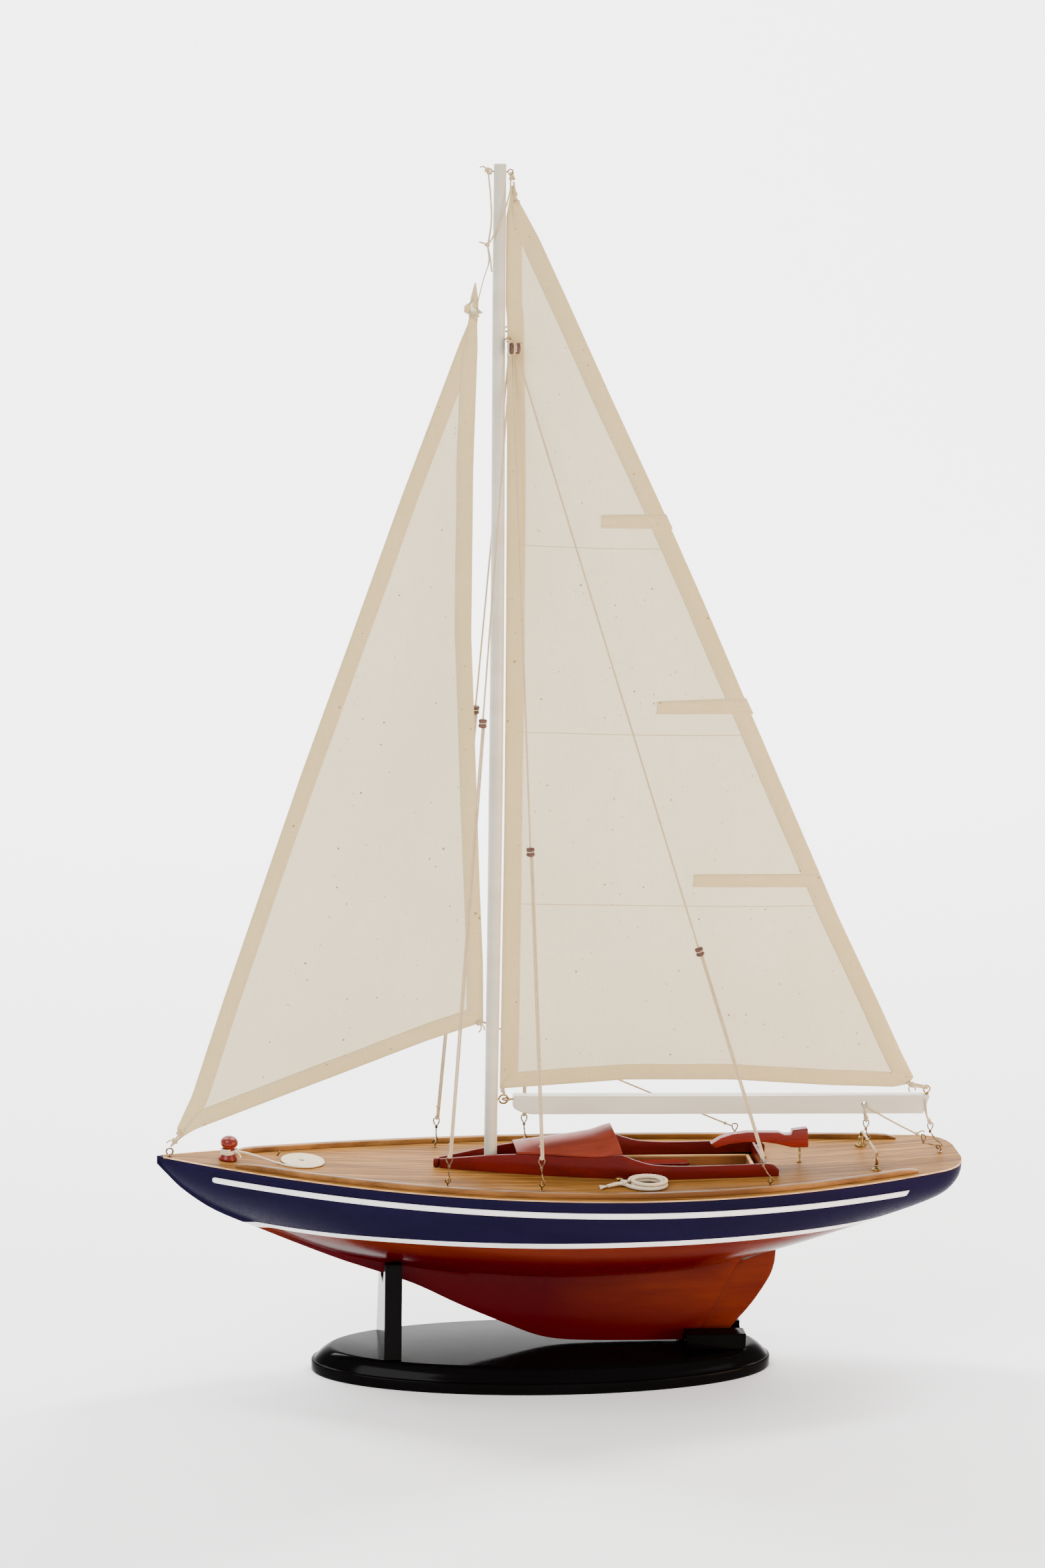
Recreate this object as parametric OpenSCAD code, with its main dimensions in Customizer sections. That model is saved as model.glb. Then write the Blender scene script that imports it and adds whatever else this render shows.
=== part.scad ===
// Display model of a sloop-rigged pond yacht on an oval wooden stand.
// Frame: +X towards the stern, -Y is the port side, +Z up, origin at the
// centre of the stand's underside. All sizes are in millimetres.

/* [Stand] */
// Length of the oval base
base_l = 243; // [230:1:260]
// Width of the oval base
base_w = 86; // [80:1:96]
// Thickness of the oval base
base_h = 13; // [12:0.5:16]
// Height of the fork post above the base
post_h = 50; // [49:0.5:51]

/* [Hull] */
// Overall length of the hull
hull_l = 420; // [415:1:425]
// Greatest beam at the deck edge
beam = 113; // [108:1:118]
// Height of the sheer at its lowest point, above the ground
sheer_z = 108.8; // [108:0.1:110]
// Rise of the sheer from its lowest point to the bow
bow_rise = 8.7; // [6:0.1:10]
// Rise of the sheer from its lowest point to the stern
stern_rise = 7.7; // [5:0.1:9]
// Thickness of the deck
deck_t = 1.6; // [1.2:0.1:2]

/* [Cabin] */
// Half width of the cockpit at its parallel part
coaming_w = 21.5; // [20:0.5:23]
// Height of the coaming boards along the cockpit
coaming_h = 6.8; // [5:0.1:8]
// Thickness of the coaming boards
coaming_t = 1.6; // [1.2:0.1:2]
// Height of the cabin roof's crown above the deck
crown_h = 22; // [18:0.5:24]

/* [Rig] */
// Height of the masthead above the ground
mast_top = 626; // [620:1:632]
// Lean of the mast towards the bow, in degrees
mast_lean = 1.1; // [0:0.1:1.2]
// Radius of the mast at its thickest
mast_r = 3.6; // [3.4:0.1:3.8]
// Length of the boom
boom_l = 220; // [216:1:222]
// Depth of the boom
boom_h = 9.8; // [9:0.1:10]
// Width of the boom
boom_w = 6; // [5:0.1:7]
// Thickness of each sail
sail_t = 1.2; // [0.8:0.1:1.4]
// Radius of the stay cords
cord_r = 0.5; // [0.4:0.05:0.5]

/* [Hidden] */

$fn = 48;
eps = 0.01;
bow_x = -203;
stern_x = bow_x + hull_l;
low_x = 36;                 // where the sheer is lowest and the beam greatest
split_z = 48;               // joint between the hull and the keel
cavity_z = 92;              // floor of the hollow under the cabin
gap = 0.3;                  // space left between bodies that move apart

// Lines of the hull's bottom: station, canoe body, keel, half thickness of
// the keel, and how V-shaped the section is
lines = [
    [-203, 115.0, 113.5, 1.2, 0.70], [-199, 111.2, 109.2, 1.3, 0.75],
    [-190, 102.2, 100.0, 1.4, 0.80], [-174, 91.1, 88.8, 1.6, 0.85],
    [-150, 80.6, 78.2, 2.0, 0.90], [-110, 65.0, 62.0, 3.5, 0.90],
    [-70, 57.0, 48.0, 4.5, 0.80], [-45, 54.0, 36.0, 5.0, 0.70],
    [-20, 52.5, 25.0, 5.0, 0.62], [-2, 52.0, 18.0, 5.0, 0.58],
    [15, 52.0, 15.5, 5.0, 0.56], [60, 54.0, 14.5, 4.5, 0.56],
    [79, 56.5, 14.5, 4.0, 0.56], [104, 62.3, 58.5, 3.0, 0.55],
    [124, 67.5, 65.0, 2.0, 0.55], [152, 76.2, 74.3, 2.0, 0.54],
    [174, 83.6, 82.2, 2.0, 0.52], [195, 90.8, 89.4, 2.0, 0.50],
    [207, 96.5, 95.0, 2.0, 0.50], [214, 103.5, 102.0, 2.0, 0.50],
    [217, 109.0, 107.5, 2.0, 0.50]
];

function clamp(v, lo, hi) = min(max(v, lo), hi);
function slope(t, i, c) =
    let (a = max(i - 1, 0), b = min(i + 1, len(t) - 1))
    (t[b][c] - t[a][c]) / (t[b][0] - t[a][0]);
function segment(t, x) =
    max([for (i = [0 : len(t) - 2]) if (i == 0 || t[i][0] <= x) i]);
// Smooth curve through column c of table t
function fair(t, x, c) =
    let (i = segment(t, x), w = t[i + 1][0] - t[i][0])
    let (s = clamp((x - t[i][0]) / w, 0, 1))
    t[i][c] * (2 * s^3 - 3 * s^2 + 1) + t[i + 1][c] * (3 * s^2 - 2 * s^3)
    + w * slope(t, i, c) * (s^3 - 2 * s^2 + s)
    + w * slope(t, i + 1, c) * (s^3 - s^2);

function sheer(x) = sheer_z
    + (x < low_x ? bow_rise * ((low_x - x) / (low_x - bow_x))^2
                 : stern_rise * ((x - low_x) / (stern_x - low_x))^2);
// Half breadth of the deck, with a round stern
function breadth(x) =
    let (full = x < low_x
        ? 1 - ((low_x - x) / (low_x - bow_x + 2))^2
        : 1 - 0.53 * ((x - low_x) / (stern_x - low_x))^2)
    let (turn = clamp((x - stern_x + 17) / 17.3, 0, 1))
    beam / 2 * full * (1 - turn^3)^(1 / 3);
function deck_slope(x) = atan(sheer(x + 0.5) - sheer(x - 0.5));
// Height at which things stand on the deck, just clear of it
function on_deck(x) = sheer(x) + 0.07;

// Half of one hull section, from the deck edge down to the keel
body_pts = 9;
keel_pts = 4;
// Half breadth at depth v, from 0 at the deck to 1 at the keel
function hull_half(x, v) =
    let (body = breadth(x) * (1 - v^2.2)^fair(lines, x, 4))
    sqrt(body^2 + fair(lines, x, 3)^2 * v);
function half_section(x) =
    let (top = sheer(x) - deck_t, low = fair(lines, x, 1))
    let (foot = fair(lines, x, 2), t = fair(lines, x, 3))
    concat(
        [for (i = [0 : body_pts]) let (v = sin(90 * i / body_pts))
            [hull_half(x, v), top - (top - low) * v]],
        [for (i = [1 : keel_pts]) let (v = i / keel_pts)
            [t * (1 - 0.3 * v^2), low - (low - foot) * v]]);
function reverse(l) = [for (i = [len(l) - 1 : -1 : 0]) l[i]];
function ring_at(x) =
    let (h = half_section(x))
    concat([for (p = h) [x, -p[0], p[1]]], [for (p = reverse(h)) [x, p[0], p[1]]]);
stations = [-203, -201, -198, -194, -188, -180, -170, -158, -144, -128, -110,
    -90, -70, -55, -40, -25, -10, 5, 22, 40, 60, 79, 85, 92, 98, 104, 112,
    124, 138, 152, 164, 176, 186, 195, 202, 208, 212, 215, 217];

// Closed skin over a row of rings that have the same, even number of points;
// each end is closed by triangles between the two halves of its ring
module loft(rings) {
    n = len(rings[0]);
    m = len(rings);
    last = (m - 1) * n;
    polyhedron(
        points = [for (r = rings) each r],
        faces = concat(
            [for (j = [0 : n / 2 - 2]) let (k = n - 1 - j)
                each [[j, j + 1, k - 1], [j, k - 1, k]]],
            [for (j = [0 : n / 2 - 2]) let (k = n - 1 - j)
                each [[last + j, last + k - 1, last + j + 1], [last + j, last + k, last + k - 1]]],
            [for (i = [0 : m - 2]) for (j = [0 : n - 1]) let (k = (j + 1) % n)
                each [[i * n + j, (i + 1) * n + j, (i + 1) * n + k],
                      [i * n + j, (i + 1) * n + k, i * n + k]]]));
}
// Points of an upright strip at side s: across from y0 to y1, up from z0 to z1
function strip_ring(x, y0, y1, z0, z1) =
    let (a = [[x, y0, z0], [x, y0, z1], [x, y1, z1], [x, y1, z0]])
    y0 < y1 ? reverse(a) : a;

// Outline of the opening in the deck and of the coamings, half width at x
tip_x = -60;
well_x = 55;
cut_x = 112.5;              // aft end of the opening
aft_x = 118;
function coaming_y(x) =
    let (t = clamp((x - tip_x) / (well_x - tip_x), 0, 1))
    1.5 + (coaming_w - 1.5) * (1 - (1 - t)^1.3);
module opening_plan(inset, x0, x1) {
    step = (x1 - x0) / 16;
    side = [for (i = [0 : 16]) let (x = x0 + step * i) [x, coaming_y(x) - inset]];
    polygon(concat(side, [for (p = reverse(side)) [p[0], -p[1]]]));
}

// Mast: centreline, and a frame that leans with it
foot_z = 96;
foot_x = -30;
function mast_x(z) = foot_x - (z - foot_z) * tan(mast_lean);
module on_mast(z) {
    translate([mast_x(z), 0, z]) rotate([0, -mast_lean, 0]) children();
}
mast_waist = 0.4;
foot_r = 3.3;
head_r = 3.1;

// Upright wire ring, turned about Z, and a round bar between two points
module ring(p, r, wire, turn = 0) {
    translate(p) rotate([90, 0, turn]) rotate_extrude() translate([r, 0]) circle(wire, $fn = 16);
}
module bar(a, b, r) {
    d = b - a;
    translate(a) rotate([0, acos(d[2] / norm(d)), atan2(d[1], d[0])])
        cylinder(h = norm(d), r = r, $fn = 24);
}
// Screw eye that stands on a surface: shank, and a ring in the plane given
module screw_eye(p, turn, r, wire, shank) {
    translate(p) rotate(turn) {
        translate([0, 0, shank + r]) rotate([90, 0, 0])
            rotate_extrude() translate([r, 0]) circle(wire, $fn = 16);
        cylinder(h = shank + wire / 2, r = wire, $fn = 16);
    }
}
eye_r = 1.6;
wire_r = 0.35;

// Stays: deck point on the starboard side, and the point at the hounds
hound_z = 538;
stay_foot = [[-56, 33], [-8, 37.5], [110.5, 37.5]];
stay_top = [[-32.6, 4, 531.9], [-31.5, 1.8, 533.5], [-29.5, 1.8, 533.5]];
stay_low = [[-55.5, 33, 124], [-8.5, 37.3, 124], [106.5, 37, 124]];
bead_at = [184, 251, 318];   // distance of each bowsie from the hounds
bead_l = 4.4;
bead_r = 2.2;
bead_travel = 10;
function side(p, s) = [p[0], s * p[1], p[2]];
function along(a, b, d) = a + (b - a) * d / norm(b - a);

// Free rope ends: points chosen along their routes
mooring_r = 0.5;
coil_r = 12;
coil_x = -128;
coil_y = 2;
mooring_route = [
    [-161.5, -1.2, 119.9], [-158, -1.4, 119.3], [-153, -1.9, 117.9],
    [-148, -2.6, 116.3], [-144, -3.4, 115.0], [-141, -4.2, 114.4],
    [-139.6, -4.8, 114.35]
];
rope_r = 1;
rope_c = [48, -32];
rope_route = [
    [26.5, -34, 110.1], [28.5, -33.2, 110.3], [31, -32.6, 110.7],
    [33.5, -32.2, 110.8], [36, -32, 110.4]
];
function unit(v) = v / norm(v);
function path_dir(p, i) = unit(p[min(i + 1, len(p) - 1)] - p[max(i - 1, 0)]);
// Eight-sided tube along a list of points
module tube(p, r) {
    loft([for (i = [0 : len(p) - 1])
        let (d = path_dir(p, i), u = unit(cross([0, 0, 1], d)), w = cross(d, u))
        [for (k = [0 : 7]) p[i] + r * (cos(45 * k) * w - sin(45 * k) * u)]]);
}

// ---- Stand ----
edge_w = 10;
edge_w_side = 8;
band_h = 6;
module oval(a, b, h) {
    linear_extrude(h) polygon([for (k = [0 : 71]) [a * cos(5 * k), b * sin(5 * k)]]);
}
module stand_base() {
    top_a = base_l / 2 - edge_w;
    top_b = base_w / 2 - edge_w_side;
    color("black") union() {
        oval(base_l / 2, base_w / 2, band_h);
        loft([for (i = [0 : 6]) let (v = i / 6, e = 1 - v^1.6)
            [for (k = [0 : 71]) let (a = 5 * k)
                [(top_a + (edge_w - 1) * e) * cos(a), (top_b + (edge_w_side - 1) * e) * sin(a),
                 band_h - eps + (base_h - band_h + eps) * v]]]);
    }
}
post_x = -81;
post_t = 9;
module stand_post() {
    color("black") translate([post_x - post_t / 2, 0, base_h]) rotate([90, 0, 90])
        linear_extrude(post_t) polygon([
            [-24, 0], [24, 0], [17, post_h], [12.5, post_h],
            [5.6, post_h - 14], [-5.6, post_h - 14], [-12.5, post_h], [-17, post_h]]);
}
block_x = 74;
block_l = 32;
block_h = 8.5;
module stand_block() {
    color("black") difference() {
        translate([block_x, 0, base_h]) rotate([90, 0, 90]) linear_extrude(block_l)
            polygon([[-15, 0], [15, 0], [15, block_h - 1], [14, block_h], [-14, block_h],
                [-15, block_h - 1]]);
        translate([block_x - 1, -5, base_h + 1]) cube([block_l + 2, 10, block_h]);
    }
}

// ---- Hull ----
module hull_form() {
    loft([for (x = stations) ring_at(x)]);
}
module hull() {
    color("midnightblue") difference() {
        hull_form();
        translate([bow_x, -beam, 0]) cube([hull_l, 2 * beam, split_z]);
        translate([0, 0, cavity_z]) linear_extrude(40) opening_plan(coaming_t, tip_x + 6, cut_x);
    }
}
module keel() {
    color("firebrick") intersection() {
        hull_form();
        translate([bow_x, -beam, 0]) cube([hull_l, 2 * beam, split_z]);
    }
}
// Side view of the rudder, from its foot up: leading edge, then trailing edge
rudder_lines = [
    [[80, 14.5], [98, 14.5]], [[84.5, 22], [103.5, 22]], [[90.2, 33], [110.5, 33]],
    [[96.7, 46], [117.5, 46]], [[101.3, 54], [120.3, 54.5]], [[104.5, 58], [122.4, 63.6]]
];
module rudder() {
    color("firebrick") loft([for (l = rudder_lines)
        let (fore = l[0], aft = l[1], near = l[1] - [2, 0], t = 1.3 + fore[1] * 0.02) [
        [fore[0], -t, fore[1]], [near[0], -0.9, near[1]], [aft[0], -0.4, aft[1]],
        [aft[0], 0.4, aft[1]], [near[0], 0.9, near[1]], [fore[0], t, fore[1]]]]);
}
module deck() {
    color("burlywood") difference() {
        loft([for (x = stations) let (b = breadth(x) + 0.05, z = sheer(x))
            [[x, -b, z], [x, -b, z - deck_t], [x, b, z - deck_t], [x, b, z]]]);
        translate([0, 0, 100]) linear_extrude(30) opening_plan(coaming_t, tip_x + 6, cut_x);
    }
}
rail_inset = 5;
rail_w = 3.5;
rail_h = 2.6;
module toe_rail(s) {
    color("peru") loft([for (i = [0 : 24])
        let (x = -163 + 353 * i / 24, y = breadth(x) - rail_inset, z = on_deck(x))
        let (h = i == 0 || i == 24 ? 0.8 : rail_h)
        strip_ring(x, s * (y - rail_w), s * y, z, z + h)]);
}
module toe_rail_port() {
    toe_rail(-1);
}
module toe_rail_starboard() {
    toe_rail(1);
}
// Raised strip on the topsides, a little below the sheer
cove_drop = 5.5;
cove_w = 3;
module cove_strip(s) {
    color("white") loft([for (i = [0 : 24])
        let (x = -175 + 359 * i / 24, z = sheer(x) - cove_drop - 1.5 * (i / 24)^2)
        let (a = hull_y(x, z) + 0.15, b = hull_y(x, z - cove_w) + 0.15)
        let (r = [[x, s * b, z - cove_w], [x, s * (b + 1), z - cove_w],
            [x, s * (a + 1), z], [x, s * a, z]])
        s > 0 ? r : reverse(r)]);
}
// Half breadth of the hull's skin at height z
function hull_y(x, z) =
    let (top = sheer(x) - deck_t)
    hull_half(x, clamp((top - z) / (top - fair(lines, x, 1)), 0, 1));
module cove_strip_port() {
    cove_strip(-1);
}
module cove_strip_starboard() {
    cove_strip(1);
}

// ---- Cabin and cockpit ----
// Height of the coaming board above the deck
board_rise = [[-60, 4.4], [-18, 10.4], [24, 11], [36, 12.6], [42, 10.5],
    [50, 8.2], [64, 7], [90, 6.8], [109, 6.8], [115, 6.2], [118, 3.5]];
module coaming(s) {
    color("sienna") loft([for (i = [0 : 30])
        let (x = tip_x + 3 + (aft_x - tip_x - 3) * i / 30, y = coaming_y(x))
        let (z = on_deck(x), h = fair(board_rise, x, 1) * coaming_h / 6.8)
        strip_ring(x, s * (y - coaming_t), s * y, z, z + h)]);
}
module coaming_port() {
    coaming(-1);
}
module coaming_starboard() {
    coaming(1);
}
module coaming_tip() {
    z = sheer(tip_x);
    color("sienna") translate([tip_x + 1.4, 0, z + 0.3])
        cylinder(h = 4, r = 1.5);
}
roof_x0 = -18;
roof_x1 = 36;
roof_t = 1.2;
roof_steps = 12;
// Point on the roof's underside, f of its length aft and u of its half width out
function roof_point(f, u) =
    let (x = roof_x0 + (roof_x1 - roof_x0) * f, w = coaming_y(x))
    let (z = on_deck(x) + fair(board_rise, x, 1) * coaming_h / 6.8 + 0.1)
    let (rise = 0.8 + (crown_h - 13.5) * f)
    [x - 3.5 * f * (1 - u^2), w * u, z + rise * (1 - abs(u)^2.2)];
module cabin_roof() {
    color("sienna") loft([for (k = [-10 : 10]) let (u = k / 10)
        let (under = [for (i = [0 : roof_steps]) roof_point(i / roof_steps, u)])
        concat(reverse(under), [for (p = under) p + [0, 0, roof_t]])]);
}
well_x0 = 37;
well_x1 = 109;
well_floor = 97;
module cockpit_well() {
    w = 18;
    color("burlywood") difference() {
        translate([well_x0, -w, well_floor]) cube([well_x1 - well_x0, 2 * w, 15]);
        translate([well_x0 - 1, -w + 2, well_floor + 1.5])
            cube([well_x1 - well_x0 - 1, 2 * w - 4, 20]);
    }
}
module cockpit_benches() {
    for (s = [-1, 1])
        color("sienna") translate([57, s * 12.2, 106])
            linear_extrude(2) square([38, 7.4], center = true);
}
module cockpit_aft_board() {
    x = 111.5;
    color("sienna") translate([x, 0, sheer(x) - 1.4]) linear_extrude(7.4)
        square([1.6, 2 * (coaming_w - coaming_t) - 0.2], center = true);
}

// ---- Mast and fixed fittings ----
module mast_step() {
    color("burlywood") difference() {
        translate([foot_x - 6, -3.9, cavity_z]) cube([12, 7.8, 6]);
        on_mast(foot_z - 3) cylinder(h = 20, r = foot_r + 0.1);
    }
}
module mast() {
    l = (mast_top - foot_z + 2.8) / cos(mast_lean);
    color("whitesmoke") on_mast(foot_z - 2.8) {
        cylinder(h = l * mast_waist, r1 = foot_r, r2 = mast_r);
        translate([0, 0, l * mast_waist]) cylinder(h = l * (1 - mast_waist), r1 = mast_r, r2 = head_r);
    }
}
head_eye_z = 622;
// Height of each eye on the mast, and where it points: 0 is aft, 90 starboard
mast_eye_at = [[head_eye_z, 0], [head_eye_z, 180], [544.5, 35], [539.8, -30]];
module mast_eyes() {
    color("goldenrod") for (e = mast_eye_at) {
        d = [cos(e[1]), sin(e[1]), 0];
        skin = [mast_x(e[0]), 0, e[0]] + (head_r + 0.2) * d;
        ring(skin + 2 * d, 1.1, wire_r, e[1]);
        bar(skin, skin + 0.8 * d, wire_r);
    }
}
// Spool at the hounds, to port of the mainsail, that the stays are tied to
module upper_bead() {
    color("peru") translate([-30.8, -4.5, 535.8]) rotate([0, 90, 0]) rotate_extrude()
        polygon([[0, -2.7], [2.2, -2.7], [2.9, -1.8], [2.7, -0.8], [2.2, 0],
            [2.7, 0.8], [2.9, 1.8], [2.2, 2.7], [0, 2.7]]);
}
goose_z = 146.5;
goose_r = 1.8;
goose_x = mast_x(goose_z) + mast_r + 2.6;
pivot_x = goose_x + goose_r;    // the boom swings on the aft wire of the ring
module gooseneck_eye() {
    color("goldenrod") {
        ring([goose_x, 0, goose_z], goose_r, 0.4);
        bar([goose_x - 2.45, 0, goose_z], [goose_x - 1.75, 0, goose_z], 0.4);
    }
}
module bow_eye() {
    color("goldenrod") screw_eye([-196.5, 0, on_deck(-196.5)], [0, 0, 0], 1.5, 0.35, 1.2);
}
module stern_eye() {
    color("goldenrod") screw_eye([208, 0, on_deck(208)], [0, 0, 90], eye_r, 0.4, 0.8);
}
eye_up = 1.2;
module chainplate_eyes() {
    color("goldenrod") for (s = [-1, 1]) for (p = stay_foot)
        screw_eye([p[0], s * p[1], on_deck(p[0])], [0, 0, 90], eye_r, 0.35, eye_up);
}
// Wire hook from a ring at the cord down to a bend through an eye
hook_ring = 1.8;
module hook(top, foot) {
    bend = foot + [0, 0, 1.6];
    ring(top, hook_ring, wire_r);
    bar(top - [0, 0, hook_ring + wire_r - 0.1], bend + [-1.5, 0, 0.2], wire_r);
    translate(bend) rotate([90, 0, 0]) rotate([0, 0, 180]) rotate_extrude(angle = 250)
        translate([1.5, 0]) circle(wire_r, $fn = 16);
}
// Side and place of each stay: the jib's sheet takes the aft eye to starboard
stay_set = [[-1, 0], [-1, 1], [-1, 2], [1, 0], [1, 1]];
module stay_hooks() {
    color("darkgoldenrod") for (e = stay_set) {
        foot = stay_foot[e[1]];
        hook(side(stay_low[e[1]], e[0]),
            [foot[0], e[0] * foot[1], sheer(foot[0]) + eye_up + eye_r - 0.2]);
    }
}

// ---- Stays and bowsies ----
// The main strand runs through the bowsie; the second one returns to it
module stay(i, s) {
    a = side(stay_top[i], s);
    b = side(stay_low[i], s);
    end = along(b, a, hook_ring + wire_r + 0.15);
    bead = along(a, b, bead_at[i] + bead_l / 2 + gap);
    shift = [1.15, 0, 0];
    color("beige") {
        bar(a, end, cord_r);
        bar(bead + shift, end + shift * 0.95, cord_r);
    }
}
module bowsie(i, s) {
    a = side(stay_top[i], s);
    b = side(stay_low[i], s);
    d = unit(a - b);
    color("peru") translate(along(a, b, bead_at[i]))
        rotate([0, acos(d[2]), atan2(d[1], d[0])]) difference() {
            rotate_extrude() polygon([[0, -bead_l / 2], [1.6, -bead_l / 2], [bead_r, -1.1],
                [bead_r - 0.5, 0], [bead_r, 1.1], [1.6, bead_l / 2], [0, bead_l / 2]]);
            cylinder(h = bead_l * 2, r = cord_r + 0.06, center = true, $fn = 24);
        }
}
module stay_port_fore() {
    stay(0, -1);
}
module stay_port_mid() {
    stay(1, -1);
}
module stay_port_aft() {
    stay(2, -1);
}
module stay_starboard_fore() {
    stay(0, 1);
}
module stay_starboard_mid() {
    stay(1, 1);
}
module bowsie_port_fore() {
    bowsie(0, -1);
}
module bowsie_port_mid() {
    bowsie(1, -1);
}
module bowsie_port_aft() {
    bowsie(2, -1);
}
module bowsie_starboard_fore() {
    bowsie(0, 1);
}
module bowsie_starboard_mid() {
    bowsie(1, 1);
}

// ---- Sails ----
module sail(outline) {
    color("antiquewhite") translate([0, sail_t / 2, 0]) rotate([90, 0, 0])
        linear_extrude(sail_t) polygon(outline);
}
// Corners of the jib, counted round from the head
jib_outline = [
    [-51.4, 567.4], [-49, 550], [-49.4, 476], [-48, 390], [-45, 340], [-40.2, 260],
    [-37.6, 219], [-37, 189], [-65, 178], [-183, 132], [-192, 128],
    [-186, 149], [-170, 200], [-53, 549]
];
module jib() {
    sail(jib_outline);
}
module jib_halyard() {
    color("beige") {
        bar([mast_x(head_eye_z) - 6.2, 0, 619.5], [-47, 0, 590], 0.45);
        bar([-47, 0, 590], [-50.7, 0, 566.4], 0.45);
    }
}
module jib_tack_tie() {
    color("beige") bar([-196.2, 0, 122], [-192.3, 0, 127.4], 0.4);
}
// The sheet bends round the mast to starboard, and runs aft to its own hook
jib_hook = [104.7, 37.2, 118.5];
module jib_sheet() {
    clew = [-36.9, 1.9, 187.6];
    bend = [-31.5, 4.9, 185];
    color("beige") {
        bar(clew, along(bend, clew, 0.9), cord_r);
        bar(bend, along(jib_hook, bend, hook_ring + wire_r + 0.15), cord_r);
    }
}
module jib_sheet_hook() {
    color("darkgoldenrod") {
        ring(jib_hook, hook_ring, wire_r);
        bar(jib_hook + [1.6, 0.1, -1.2], [109.8, 37.5, 114.2], wire_r);
    }
}
luff_gap = 0.5;
function luff_x(z) = mast_x(z) + mast_r + luff_gap;
module mainsail() {
    sail([
        [luff_x(608), 608], [-32, 610], [-16, 580], [19.5, 514], [45, 460],
        [70.5, 408], [97, 349], [134, 270], [145, 245], [184, 170], [191.5, 157],
        [189, 153], [181, 151.5], [147, 153], [113, 155.3], [95, 156.5],
        [39, 156.7], [luff_x(152.4) + 6, 152.4], [luff_x(152.4), 152.4]]);
}

// ---- Boom, with everything that swings on it ----
boom_x = goose_x + 5.2;
boom_z = 143.9;
module boom() {
    color("whitesmoke") difference() {
        translate([boom_x, boom_w / 2, boom_z]) rotate([90, 0, 0]) rotate([0, 0, -0.3])
            linear_extrude(boom_w) polygon([
                [0, boom_h / 2], [0, -1.6], [8, -boom_h / 2],
                [boom_l - 3, -boom_h / 2], [boom_l, boom_h / 2]]);
        translate([165.4, 0, 143]) rotate([90, 0, 0]) cylinder(h = 20, r = 1.5, center = true);
    }
}
// Level ring about the pivot, linked with the ring on the mast
module boom_eye() {
    color("goldenrod") {
        translate([pivot_x, 0, goose_z]) rotate([0, -mast_lean, 0]) rotate_extrude()
            translate([goose_r, 0]) circle(0.4, $fn = 16);
        bar([pivot_x + goose_r + 0.1, 0, goose_z], [boom_x - 0.05, 0, goose_z], 0.4);
    }
}
clew_x = 199;
module clew_eye() {
    color("goldenrod") screw_eye([clew_x, 0, boom_z + boom_h / 2 - 1], [0, 0, 0], 1.8, 0.4, 0.8);
}
module main_ties() {
    color("beige") {
        bar([mast_x(614) + mast_r + 1.2, 0, 611.2], [mast_x(618) + mast_r + 1.6, 0, 616.4], 0.45);
        bar([189.6, 0, 150.3], [191.4, 0, 148.4], 0.45);
    }
}

// ---- Sheets, traveller and tiller ----
sheet_top = 137.0;
module boom_end_sheet() {
    color("beige") for (y = [-0.6, 0.6])
        bar([198.2, y, sheet_top], [201, y, 132.0], cord_r);
}
module boom_mid_sheet() {
    color("beige") bar([175.2, -2.6, sheet_top - 0.3], [195.9, -2.2, 125.6], cord_r);
}
// Two hooks that meet in the stern eye, and one that hangs on the traveller
module sheet_hooks() {
    stern = [208, 0, sheer(208) + 0.9 + eye_r];
    color("darkgoldenrod") {
        ring([202, 0, 129.8], hook_ring, wire_r);
        bar([202.6, 0, 127.8], stern + [-1.5, 0, 3.2], wire_r);
        bar(stern + [-1.5, 0, 3.2], stern + [-0.6, 0, 0.3], wire_r);
        ring([198.1, -2.2, 124.3], hook_ring, wire_r);
        bar([199.6, -1.9, 122.8], stern + [-2.2, -0.3, 1], wire_r);
        ring([167.5, 0, 131.6], hook_ring, wire_r);
        bar([167.8, 0, 129.5], [168.2, 0, 124], wire_r);
        bar([167.5, 0, 133.9], [167.3, 0, 137], cord_r);
    }
}
trav_x = 169.7;
trav_w = 20.5;
trav_h = 8.6;
trav_r = 0.8;
module traveller() {
    z = on_deck(trav_x);
    color("goldenrod") {
        bar([trav_x, -trav_w, z + trav_h], [trav_x, trav_w, z + trav_h], trav_r);
        for (s = [-1, 1]) {
            translate([trav_x, s * trav_w, z + 0.1]) cylinder(h = trav_h - 0.1, r = trav_r);
            translate([trav_x, s * trav_w, z + trav_h]) sphere(r = trav_r);
            translate([trav_x, s * trav_w, z + 0.1]) cylinder(h = 0.8, r = 2.2);
        }
    }
}
pin_x = 132.7;
pin_r = 0.5;
head_z = 119.6;
module tiller() {
    color("sienna") difference() {
        translate([0, 2.4, 0]) rotate([90, 0, 0]) linear_extrude(4.8) polygon([
            [85, 121.8], [90, 125], [96, 127], [104, 128], [121, 127.8],
            [124.5, 126.4], [127.6, 126.6], [128, 129], [136.2, 130],
            [137, head_z], [128, head_z], [121, 121.4], [114, 122.6],
            [104, 122.8], [95, 121.8], [87.4, 119.6]]);
        translate([pin_x, 0, head_z - 1]) cylinder(h = 7, r = pin_r + 0.05, $fn = 32);
    }
}
module tiller_pin() {
    z = on_deck(pin_x);
    color("goldenrod") translate([pin_x, 0, z]) {
        cylinder(h = head_z + 5.5 - z, r = pin_r, $fn = 32);
        cylinder(h = head_z - 0.3 - z, r = 0.6);
    }
}

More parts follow.
